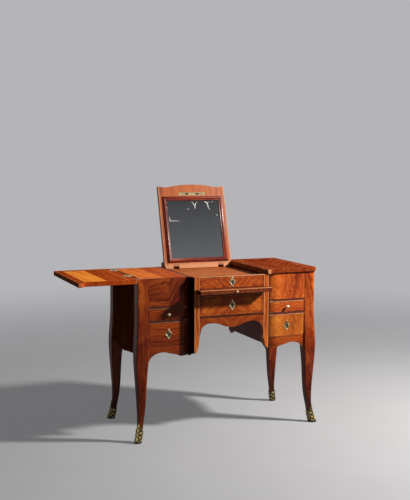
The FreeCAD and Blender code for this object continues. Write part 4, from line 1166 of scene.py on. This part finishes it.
def bar_tube(start, end, width, height, level):
    """A short half-round bar between two flat places, with a waist that is a half sine."""
    along = np.linspace(0.0, 1.0, 6)[:, None]
    way = end - start
    tangent = way / np.linalg.norm(way)
    normal = np.array([tangent[1], -tangent[0]])
    waist = 1.0 - 0.35 * np.sin(along * math.pi)
    return half_round(start + way * along, normal, waist * width / 2, height, level)


def lozenge_path(middle, height, half, tall, hollow, count=14):
    """A lozenge with hollowed sides, each a line pulled towards the middle by a sine."""
    tips = np.array([(0.0, tall), (half, 0.0), (0.0, -tall), (-half, 0.0)])
    share = np.linspace(0.0, 1.0, count, endpoint=False)[:, None]
    sides = []
    for index in range(4):
        line = tips[index] + (tips[(index + 1) % 4] - tips[index]) * share
        sides.append(line * (1.0 - hollow * np.sin(share * math.pi)))
    return np.concatenate(sides) + np.array([middle, height])


def keyhole_path(middle, height, radius, slot, drop, count=18):
    """A round eye with a slot below it."""
    turn = np.linspace(-math.pi * 0.32, math.pi * 1.32, count)
    eye = np.stack([np.cos(turn) * radius, np.sin(turn) * radius], axis=-1)
    tail = np.array([(-slot, -drop * 0.75), (-slot * 0.8, -drop), (slot * 0.8, -drop),
                     (slot, -drop * 0.75)])
    return np.concatenate([eye, tail]) + np.array([middle, height])


def make_escutcheons():
    """Pierced lozenges: a hollow-sided rim, a ring round the keyhole and eight bars."""
    material = brass_finish("escutcheon brass", scaled(finishes().brass, 0.8), 700.0, dirt=0.38)
    dark = hole_shade_finish()
    for owner in ("big_drawer_left", "big_drawer_right", "lower_drawer", "top_drawer"):
        low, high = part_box(f"{owner}_escutcheon")
        middle = np.array([(low.x + high.x) / 2, (low.z + high.z) / 2])
        reach = np.array([(high.x - low.x) / 2, (high.z - low.z) / 2])
        level = high.y
        rise = high.y - low.y
        rim = lozenge_path(*middle, reach[0] - RIM_INSET, reach[1] * RIM_STRETCH - RIM_INSET,
                           RIM_HOLLOW)
        ring = keyhole_path(*middle, *RING_HOLE)
        patches = [(loop_tube(rim, RIM_WIDTH, rise, level), True, False, False),
                   (loop_tube(ring, RING_WIDTH, rise * 1.05, level), True, False, False)]
        for direction, start, (far, width, share) in BARS:
            way = np.array(direction)
            bar = bar_tube(middle + way * start, middle + way * reach * far, width, rise * share,
                           level)
            patches.append((bar, False, False, False))
        piece = make_piece(f"{owner}_pierced_lozenge", patches, material, owner, 60.0)
        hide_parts(f"{owner}_escutcheon")
        # A dark sheet in the keyhole stands for the shade inside it.
        hole = keyhole_path(*middle, *SHADED_HOLE)
        shut = np.stack([np.insert(middle + (hole - middle) * share, 1, level - depth, axis=1)
                         for share, depth in ((1.0, 0.0001), (0.02, 0.0003))])
        make_piece(f"{owner}_keyhole_dark", [(shut, False, True, True)], dark, owner,
                   60.0)


def make_knobs():
    """Turned knobs: the profile swept round a line towards the front."""
    material = brass_finish("knob brass", finishes().brass, 500.0)
    turn = np.linspace(0.0, math.tau, KNOB_SIDES, endpoint=False)
    fine = np.linspace(0.0, 1.0, KNOB_RINGS)
    known = np.linspace(0.0, 1.0, len(KNOB_PROFILE))
    ring, out = (np.interp(fine, known, shares)[:, None] for shares in KNOB_PROFILE.T)
    for node, body in (("small_drawer_left_knob", "small_drawer_left"),
                       ("small_drawer_right_knob", "small_drawer_right"),
                       ("writing_slide_knob", "slide")):
        low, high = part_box(node)
        radius = (high.x - low.x) / 2
        x = (low.x + high.x) / 2 + ring * radius * np.cos(turn)
        z = (low.z + high.z) / 2 + ring * radius * np.sin(turn)
        y = np.broadcast_to(high.y - out * (high.y - low.y), x.shape)
        piece = make_piece(f"turned_{node}", [(np.stack([x, y, z], axis=-1), False, True, True)],
                           material, body, 60.0)
        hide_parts(node)


def rectangle(low_u, high_u, low_v, high_v):
    """A rectangle's corners, and the way inwards from each of them."""
    corners = [(low_u, low_v), (high_u, low_v), (high_u, high_v), (low_u, high_v)]
    return np.array(corners), np.array([(1.0, 1.0), (-1.0, 1.0), (-1.0, -1.0), (1.0, -1.0)])


def bead_finish(owner, low, high, shade):
    """The bead: brown, with a painted highlight along its top run and patches of pale wear above
    its foot run; the shade dims the pale colour.
    """
    finish = Finish(f"{owner} bead wood")
    colour, relief = wood(finish, finish.x + finish.z, finish.y, finish.x - finish.z,
                          tinted(front_palette(), 0.3, 0.22, 0.22), 0.5)
    # Painted highlight along the top run, where light falls on it.
    top = finish.span(finish.z, high - 0.004, high - 0.001)
    above = finish.span(finish.z, low + 0.004, low + 0.012)
    rubbed = top * 0.65 + finish.span(finish.cloud(24.0), 0.52, 0.68) * above * 0.3
    colour = finish.mix(rubbed, colour, scaled(finishes().string_and_highlight, shade))
    return finish.done(colour, 0.4, relief, 0.05, specular=0.2)


def make_beads():
    """A thin half-round bead let in round every drawer front, mitred at its corners."""
    radius = sizes().bead
    for owner in ("big_drawer_left", "small_drawer_left", "big_drawer_right",
                  "small_drawer_right", "lower_drawer", "top_drawer"):
        low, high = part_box(f"{owner}_front")
        corners, inward = rectangle(low.x, high.x, low.z, high.z)
        loop = half_round(corners + inward * radius, -inward, radius, radius,
                          low.y + radius * 0.25)
        # The pale colour is dimmer on the left bay's beads, as painted shade.
        material = bead_finish(owner, low.z, high.z, 0.45 if "left" in owner else 0.95)
        make_piece(f"{owner}_bead", [(loop, True, False, False)], material, owner,
                   40.0)


def make_mirror_moulding():
    """The glass's frame: its profile carried round a rectangle and mitred."""
    low, high = mirror_bounds("mirror_moulding")
    half, rise = high[0], high[2] - low[2]
    finish = Finish("moulding mahogany")
    across, up, out = plane_mirror(finish)
    beside = abs(up - (low[1] + high[1]) / 2) - (high[1] - low[1]) / 2
    beside = beside.below(abs(across) - half)
    along = finish.choose(beside, up, across)
    over = finish.choose(beside, across, up)
    colour, relief = wood(finish, along, over, out, tinted(red_palette(), 0.5, 0.33, 0.33), 0.6)
    rubbed = finish.span(out, low[2] + rise * 0.85, high[2]) * 0.25
    colour = finish.mix(rubbed, colour, tuple(finishes().red_light))
    material = finish.done(colour, 0.3, relief, 0.05, coat=0.08, coat_roughness=0.12, specular=0.2)
    corners, inward = rectangle(-half, half, low[1], high[1])
    inset = MOULDING_PROFILE[:, 0] * MOULDING_WIDTH
    flat = corners[:, None, :] + inward[:, None, :] * inset[None, :, None]
    level = np.broadcast_to(MOULDING_PROFILE[:, 1] * rise + low[2], flat.shape[:2])
    grid = on_mirror(np.concatenate([flat, level[..., None]], axis=-1))
    piece = make_piece("mirror_moulded_frame", [(grid, True, False, False)], material, "mirror",
                       30.0)
    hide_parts("mirror_moulding")


def ribbon(points, widths, level, count=14):
    """A thin ribbon on the mirror along a bent line, tapered by its widths."""
    share = np.linspace(0.0, 1.0, count)
    known = np.linspace(0.0, 1.0, len(points))
    line = np.stack([np.interp(share, known, np.array(points)[:, axis]) for axis in (0, 1)],
                    axis=-1)
    tangent = np.gradient(line, axis=0)
    tangent /= np.linalg.norm(tangent, axis=1, keepdims=True)
    normal = np.stack([-tangent[:, 1], tangent[:, 0]], axis=-1)
    width = np.interp(share, np.linspace(0.0, 1.0, len(widths)), widths)
    ragged = width * (1.0 + 0.25 * np.sin(share * 23.0 + points[0][0] * 90.0))
    edges = [line + normal * ragged[:, None] * sign / 2 for sign in (-1, 1)]
    flat = np.stack(edges, axis=1)
    out = np.full(flat.shape[:2] + (1,), level)
    return on_mirror(np.concatenate([flat, out], axis=-1))


def make_glass_marks():
    """Short branching places where the old silver has worn off."""
    high = mirror_bounds("mirror_glass")[1]
    level = high[2] + 0.0002
    patches = []
    for points, widths in GLASS_MARKS:
        places = [(across, high[1] - MARK_DROP - down) for across, down in points]
        thin = [width * MARK_SCALE for width in widths]
        patches.append((ribbon(places, thin, level), False, False, False))
    make_piece("worn_silver_marks", patches, mark_finish(), "mirror")


def dome(centre, radii, rise, rings=5, count=24):
    """A low dome, round or oval: its height falls with the square of the radius."""
    share = np.linspace(0.02, 1.0, rings)[:, None]
    turn = np.linspace(0.0, math.tau, count, endpoint=False)[None, :]
    across = centre[0] + radii[0] * share * np.cos(turn)
    up = centre[1] + radii[1] * share * np.sin(turn)
    out = np.broadcast_to(centre[2] + rise * (1.0 - share ** 2), across.shape)
    return np.stack([across, up, out], axis=-1)


def make_lock_plate_details():
    """Two slots of painted shade and four screw heads on the mirror's lock plate."""
    low, high = mirror_bounds("mirror_lock_plate")
    middle = (low[1] + high[1]) / 2
    places, radii = PLATE_SLOTS
    slots = [(on_mirror(dome((across, middle, high[2] + 0.0001), radii, 0.0)), False, True, False)
             for across in places]
    make_piece("lock_plate_slots", slots, hole_shade_finish(), "mirror")
    places, radii = PLATE_SCREWS
    screws = [(on_mirror(dome((across, middle, high[2]), radii, 0.0004)), False, True, True)
              for across in places]
    make_piece("lock_plate_screws", screws,
               brass_finish("screw bronze", finishes().bronze, 800.0, 0.1), "mirror",
               60.0)


def make_hinge_screws():
    """Screw heads in the leaves of the left flap's hinges."""
    material = brass_finish("hinge screw brass", finishes().brass, 800.0, 0.1)
    for body, across in HINGE_LEAVES:
        screws = [(dome((across, middle + shift, sizes().rim), SCREW_RADII, SCREW_RISE),
                   False, True, True) for middle in HINGE_MIDDLES for shift in SCREW_SHIFTS]
        make_piece(f"{body}_hinge_screws", screws, material, body, 60.0)


# ---- Finishes of the frame's own parts


def dress_fronts():
    """Veneer on every drawer front and on the boards before the wells."""
    # The left bay's veneer is darker and the right's lighter: partly their own tone, partly painted
    # shade on the left and painted light on the right.
    left_tone_and_shade = tinted(front_palette(), 0.54, 0.42, 0.38)
    right_tone_and_light = tinted(front_palette(), 1.2, 1.2, 1.3)
    plain = front_palette()
    whole = (False, False)
    plans = {
        "false_front_left": dict(palette=left_tone_and_shade, angle=0.95, second=0.03, match=whole, coarse=1.2,
                                 contrast=1.3, wild=0.35, edge=0.0, grime_and_gap_shade=0.0),
        "false_front_right": dict(palette=right_tone_and_light, angle=1.25, match=whole, coarse=1.2,
                                  contrast=0.9, wild=1.1, eyes=0.5, edge=0.0, grime_and_gap_shade=0.0),
        "small_drawer_left_front": dict(palette=left_tone_and_shade, angle=0.04, match=whole, wild=0.15,
                                        contrast=0.7),
        "small_drawer_right_front": dict(palette=right_tone_and_light, angle=0.1, match=whole, wild=0.8,
                                         eyes=0.2, contrast=0.7),
        "big_drawer_left_front": dict(palette=tinted(left_tone_and_shade, 1.3, 1.4, 1.35), angle=0.05,
                                      coarse=1.1, wild=0.2, contrast=0.85, grime_and_gap_shade=0.008),
        "big_drawer_right_front": dict(palette=tinted(plain, 1.2, 1.6, 1.6), angle=1.3,
                                       coarse=0.9, contrast=0.55, wild=1.0, match=whole),
        "lower_drawer_front": dict(palette=tinted(plain, 0.8, 0.72, 0.65), angle=-0.72,
                                   coarse=1.1, band=0.013, wild=0.1),
        "top_drawer_front": dict(palette=tinted(plain, 0.95, 0.9, 0.95), angle=0.72,
                                 coarse=1.1, contrast=1.1, band=0.012, wild=0.1),
    }
    for node, plan in plans.items():
        settings = {"grime_and_gap_shade": 0.005, "foot": 0.0022, **plan}
        dress(veneer(f"{node} veneer", plane_xz, face_bounds(node, 0, 2), **settings), node)


def dress_case():
    """Veneer on the ends, aprons and stiles, and plain wood on what is hidden."""
    front = front_palette()
    wall = tinted(red_palette(), 0.42, 0.34, 0.34)
    # The left end and apron are darker copies of the right's, and the left end has no sheen:
    # painted shade on the side away from the key light.
    for place, shade, apron, gloss in (("left", (0.6, 0.75, 1.6), (0.6, 0.5, 0.5), 0.0),
                                       ("right", (0.9, 0.8, 0.85), (0.95, 0.9, 0.9), 0.5)):
        node = f"side_panel_{place}"
        dress(veneer(f"{place} end veneer", plane_yz, face_bounds(node, 1, 2),
                     tinted(front, *shade), angle=1.5, band=0.03, coarse=1.2, wild=0.2, edge=0.0,
                     gloss=gloss), node)
        node = f"bay_apron_{place}"
        dress(veneer(f"{place} apron veneer", plane_xz, face_bounds(node, 0, 2),
                     tinted(front, *apron), angle=0.35, edge=0.0, coarse=0.9, contrast=0.7,
                     wild=0.6), node)
        dress(stile_finish(place), f"centre_stile_{place}")
        dress(board_finish(f"{place} kneehole wall", "y", wall, 0.2), f"kneehole_side_{place}")
        dress(board_finish(f"{place} bay boards", "x", oak_palette(), 0.0,
                           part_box("false_front_left")[0].y + EDGING), f"bay_boards_{place}")
    dress(veneer("middle apron veneer", plane_xz, face_bounds("centre_apron", 0, 2),
                 tinted(front, 0.6, 0.48, 0.44), angle=0.45, edge=0.0, coarse=1.1, wild=0.6),
          "centre_apron")
    dress(board_finish("back boards", "x", oak_palette()), "back_panel")
    dress(board_finish("middle boards", "x", oak_palette(), 0.0,
                       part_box("top_drawer_front")[0].y + EDGING), "centre_boards")
    dress(board_finish("recess floor wood", "x", tinted(gold_palette(), 0.48, 0.42, 0.4), 0.1),
          "recess_floor")
    dress(veneer("batten veneer", plane_xy, face_bounds("rear_batten", 0, 1), gold_palette(),
                 match=(False, False), coarse=0.7, gloss=0.1), "rear_batten")


def stile_finish(place):
    """Upright cross-grained veneer between two light lines, with painted shade on its return: very
    dark and without sheen.
    """
    finish = Finish(f"{place} stile veneer")
    colour, relief = wood(finish, finish.z, abs(finish.x), finish.y, front_palette(), 0.6, 1.0, 0.3)
    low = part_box("centre_stile_right")[0]
    arris = low.x + STILE_FACE
    width = abs(finish.x)
    first = abs(width - low.x - 0.001).below(0.001)
    second = abs(width - arris + 0.0011).below(0.001)
    colour = finish.mix(first.greater(second) * 0.7, colour, tuple(finishes().string_and_highlight))
    # Painted shade: the return beside the bay is darkened nearly to black and loses its sheen.
    inner = finish.span(width, arris - 0.0002, arris + 0.001)
    colour = finish.mix(inner * 0.94, colour, (0.012, 0.003, 0.0015))
    return finish.done(colour, finish.cloud(14.0) * 0.16 + 0.32, relief, 0.05,
                       specular=(1.0 - inner) * SPECULAR)


def dress_flaps():
    """Halved and banded veneer on the flaps, the well's cover and the mirror's panel."""
    bright = ((0.6, 0.14, 0.02), (0.97, 0.31, 0.036), (1.0, 0.46, 0.075))
    plain = (1.0, 1.0, 1.0)
    dress(veneer("left flap veneer", plane_xy, face_bounds("flap_left", 0, 1), bright,
                 angle=1.5, band=0.036, line=0.001, halves=(plain, (0.42, 0.21, 0.3)),
                 coarse=0.8, edge=0.003, band_palette=tinted(front_palette(), 1.05, 0.8, 0.9),
                 gloss=0.0, wild=0.2, contrast=0.55), "flap_left")
    dress(veneer("right flap veneer", plane_xy, face_bounds("flap_right", 0, 1),
                 tinted(red_palette(), 0.68, 0.7, 0.6), angle=0.95, band=0.042, line=0.0006,
                 coarse=1.4, edge=0.003, contrast=0.8, gloss=0.0), "flap_right")
    dress(veneer("well cover veneer", plane_xy, face_bounds("well_cover_left", 0, 1),
                 tinted(bright, 0.75, 0.6, 1.0), angle=1.5, halves=(plain, (0.66, 0.5, 0.75)),
                 coarse=0.8, edge=0.0015, gloss=0.0, wild=0.2, contrast=0.6), "well_cover_left")
    dress(panel_finish(), "mirror_panel")
    dress(leather_finish(), "writing_slide")


def panel_finish():
    """The mirror's panel: golden upright grain, pale at its foot and its edges as worn wood and as
    a painted highlight.
    """
    low, high = mirror_bounds("mirror_panel")
    finish = Finish("mirror panel veneer")
    across, up, out = plane_mirror(finish)
    colour, relief = wood(finish, up, across, out, tinted(gold_palette(), 0.47, 0.38, 0.26), 0.7)
    near = float(high[0]) - abs(across)
    edge = finish.cloud(60.0)
    # Pale edges and foot: worn wood, and a painted highlight where light catches them.
    rubbed = finish.span(near + (edge - 0.5) * 0.01, 0.006, 0.0) * 0.6
    foot = finish.span(up + (edge - 0.5) * 0.012, 0.02, 0.0) * 0.55
    colour = finish.mix(rubbed.greater(foot), colour, (0.58, 0.28, 0.14))
    # Dark line beside the moulding: partly a groove, partly the moulding's painted shadow.
    inner = abs(near - PANEL_LINE[0]).below(PANEL_LINE[1])
    colour = finish.mix(inner * 0.5, colour, (0.05, 0.012, 0.005))
    back = out.below(float(low[2]) + 0.0008)
    plain, _ = wood(finish, up, across, out, tinted(red_palette(), 0.9, 0.9, 0.9), 1.2)
    colour = finish.mix(back, colour, plain)
    return finish.done(colour, edge * 0.16 + 0.32, relief, 0.05, coat=0.14, coat_roughness=0.14,
                       specular=0.25)


def dress_rest():
    """Oak trays, iron locks, brass hinges and the glass."""
    for node in NODES:
        if node.endswith("_tray"):
            dress(tray_finish(f"{node} oak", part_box(node)[0].y), node)
    dress(steel_finish(), "big_drawer_left_lock", "big_drawer_right_lock", "lower_drawer_lock",
          "top_drawer_lock")
    dress(brass_finish("hinge brass", finishes().brass, 500.0, 0.08, middle=0.3),
          "hinge_leaves_fixed", "mirror_hinges")
    dress(brass_finish("plain brass", finishes().brass, 500.0, 0.08),
          "flap_hinges_left", "flap_hinges_right")
    dress(brass_finish("dull bronze", scaled(finishes().bronze, 0.6), 500.0, 0.16),
          "mirror_lock_plate")
    dress(glass_finish(), "mirror_glass")


# ---- The stage


def make_stage():
    """A pale floor, even room light, a soft key at the right and the photo's camera."""
    scene = bpy.context.scene
    chosen = scene.poudreuse_stage
    scene.view_settings.view_transform = "Standard"
    floor_mesh = bpy.data.meshes.new("floor")
    corners = [(-FLOOR_REACH, -FLOOR_REACH, 0.0), (FLOOR_REACH, -FLOOR_REACH, 0.0),
               (FLOOR_REACH, FLOOR_REACH, 0.0), (-FLOOR_REACH, FLOOR_REACH, 0.0)]
    floor_mesh.from_pydata(corners, [], [(0, 1, 2, 3)])
    floor = bpy.data.objects.new("floor", floor_mesh)
    scene.collection.objects.link(floor)
    floor_mesh.materials.append(floor_finish())
    make_room_light(chosen.sky)
    for name, (place, target, width, colour) in LIGHTS.items():
        add_light(name, place, target, width, getattr(chosen, name), colour)
    add_camera(chosen.lens)


def seen_directly(tree):
    """One for what the camera, a reflection or a clear material sees, else nought."""
    path = tree.nodes.new("ShaderNodeLightPath")
    seen = path.outputs["Is Camera Ray"]
    for name in ("Is Glossy Ray", "Is Transmission Ray"):
        either = tree.nodes.new("ShaderNodeMath")
        either.operation = "MAXIMUM"
        tree.links.new(seen, either.inputs[0])
        tree.links.new(path.outputs[name], either.inputs[1])
        seen = either.outputs[0]
    return seen


def floor_finish():
    """Pale grey floor that fades into the backdrop's own colour far from the object."""
    finish = Finish("pale floor")
    far = finish.calc("SQRT", finish.x * finish.x + finish.y * finish.y)
    seen = Field(finish, seen_directly(finish.tree))
    fade = (finish.span(far, 1.0, 5.0) * 0.7 + 0.3) * seen
    colour = finish.ramp(finish.cloud(3.0, 4.0), [(0.2, (0.37, 0.37, 0.385)),
                                                  (0.8, (0.4, 0.4, 0.415))])
    colour = finish.mix(seen, (0.13, 0.13, 0.135), colour)
    return finish.done(colour, 0.8, specular=0.1, veil=(fade, BACKDROP))


def make_room_light(strength):
    """World light. The camera and reflections see a plain pale grey instead."""
    world = bpy.data.worlds.new("room")
    bpy.context.scene.world = world
    world.use_nodes = True
    tree = world.node_tree
    tree.nodes.clear()
    light = tree.nodes.new("ShaderNodeBackground")
    light.inputs["Strength"].default_value = strength
    backdrop = tree.nodes.new("ShaderNodeBackground")
    backdrop.inputs["Color"].default_value = (*BACKDROP, 1.0)
    choice = blend_shaders(tree, seen_directly(tree), light, backdrop)
    output = tree.nodes.new("ShaderNodeOutputWorld")
    tree.links.new(choice.outputs[0], output.inputs[0])


def add_light(name, place, target, width, power, colour):
    """One soft square light, aimed at a place."""
    data = bpy.data.lights.new(name, "AREA")
    data.size = width
    data.energy = power
    data.color = colour
    light = bpy.data.objects.new(name, data)
    bpy.context.scene.collection.objects.link(light)
    turn = (Vector(target) - Vector(place)).to_track_quat("-Z", "Y").to_matrix().to_4x4()
    light.matrix_world = Matrix.Translation(place) @ turn


def add_camera(lens):
    """The photograph's camera: a little left of the front, looking slightly down."""
    yaw, pitch, roll = (math.radians(angle) for angle in CAMERA_TURNS)
    forward = Vector((math.sin(yaw) * math.cos(pitch), math.cos(yaw) * math.cos(pitch),
                      -math.sin(pitch)))
    level = Vector((math.cos(yaw), -math.sin(yaw), 0.0))
    upright = level.cross(forward)
    right = level * math.cos(roll) + upright * math.sin(roll)
    up = upright * math.cos(roll) - level * math.sin(roll)
    turn = Matrix((right, up, -forward)).transposed().to_4x4()
    data = bpy.data.cameras.new("camera")
    data.sensor_fit = "VERTICAL"
    data.sensor_height = 36.0
    data.lens = lens
    camera = bpy.data.objects.new("camera", data)
    bpy.context.scene.collection.objects.link(camera)
    camera.matrix_world = Matrix.Translation(CAMERA_PLACE) @ turn
    bpy.context.scene.camera = camera


# ---- Operators and panel


class POUDREUSE_OT_stage(bpy.types.Operator):
    """Add the floor, lights and camera"""

    bl_idname = "poudreuse.stage"
    bl_label = "Stage"

    def execute(self, context):
        make_stage()
        return {"FINISHED"}


class POUDREUSE_OT_fronts(bpy.types.Operator):
    """Veneer the drawer fronts"""

    bl_idname = "poudreuse.fronts"
    bl_label = "Fronts"

    def execute(self, context):
        dress_fronts()
        make_beads()
        return {"FINISHED"}


class POUDREUSE_OT_case(bpy.types.Operator):
    """Veneer the case"""

    bl_idname = "poudreuse.case"
    bl_label = "Case"

    def execute(self, context):
        dress_case()
        return {"FINISHED"}


class POUDREUSE_OT_flaps(bpy.types.Operator):
    """Veneer the flaps, the cover and the mirror's panel"""

    bl_idname = "poudreuse.flaps"
    bl_label = "Flaps"

    def execute(self, context):
        dress_flaps()
        return {"FINISHED"}


class POUDREUSE_OT_fittings(bpy.types.Operator):
    """Finish the trays, locks, hinges and glass"""

    bl_idname = "poudreuse.fittings"
    bl_label = "Fittings"

    def execute(self, context):
        dress_rest()
        make_hinge_screws()
        return {"FINISHED"}


class POUDREUSE_OT_legs(bpy.types.Operator):
    """Shape the legs and their brass shoes"""

    bl_idname = "poudreuse.legs"
    bl_label = "Legs and shoes"

    def execute(self, context):
        make_legs()
        make_shoes()
        return {"FINISHED"}


class POUDREUSE_OT_brass(bpy.types.Operator):
    """Add the escutcheons and knobs"""

    bl_idname = "poudreuse.brass"
    bl_label = "Escutcheons and knobs"

    def execute(self, context):
        make_escutcheons()
        make_knobs()
        return {"FINISHED"}


class POUDREUSE_OT_mirror(bpy.types.Operator):
    """Add the mirror's moulding, wear and lock plate"""

    bl_idname = "poudreuse.mirror"
    bl_label = "Mirror"

    def execute(self, context):
        make_mirror_moulding()
        make_glass_marks()
        make_lock_plate_details()
        return {"FINISHED"}


STEPS = ("stage", "fittings", "case", "fronts", "flaps", "legs", "brass", "mirror")


class POUDREUSE_PT_panel(bpy.types.Panel):
    """The pieces and their settings"""

    bl_idname = "POUDREUSE_PT_panel"
    bl_label = "Poudreuse"
    bl_space_type = "VIEW_3D"
    bl_region_type = "UI"
    bl_category = "Poudreuse"

    def draw(self, context):
        for step in STEPS:
            self.layout.operator(f"poudreuse.{step}")
        for settings in (context.scene.poudreuse_sizes, context.scene.poudreuse_finishes,
                         context.scene.poudreuse_stage):
            box = self.layout.box()
            for name in settings.bl_rna.properties.keys():
                if name not in ("rna_type", "name"):
                    box.prop(settings, name)


CLASSES = (
    PoudreuseFinishes,
    PoudreuseSizes,
    PoudreuseStage,
    POUDREUSE_OT_stage,
    POUDREUSE_OT_fronts,
    POUDREUSE_OT_case,
    POUDREUSE_OT_flaps,
    POUDREUSE_OT_fittings,
    POUDREUSE_OT_legs,
    POUDREUSE_OT_brass,
    POUDREUSE_OT_mirror,
    POUDREUSE_PT_panel,
)


def register():
    """Registers the classes and their settings."""
    for entry in CLASSES:
        bpy.utils.register_class(entry)
    bpy.types.Scene.poudreuse_finishes = PointerProperty(type=PoudreuseFinishes)
    bpy.types.Scene.poudreuse_sizes = PointerProperty(type=PoudreuseSizes)
    bpy.types.Scene.poudreuse_stage = PointerProperty(type=PoudreuseStage)


def unregister():
    """Removes the settings and classes."""
    del bpy.types.Scene.poudreuse_stage
    del bpy.types.Scene.poudreuse_sizes
    del bpy.types.Scene.poudreuse_finishes
    for entry in reversed(CLASSES):
        bpy.utils.unregister_class(entry)


def main():
    """Builds everything in order."""
    register()
    for step in STEPS:
        getattr(bpy.ops.poudreuse, step)()


if __name__ == "__main__":
    main()
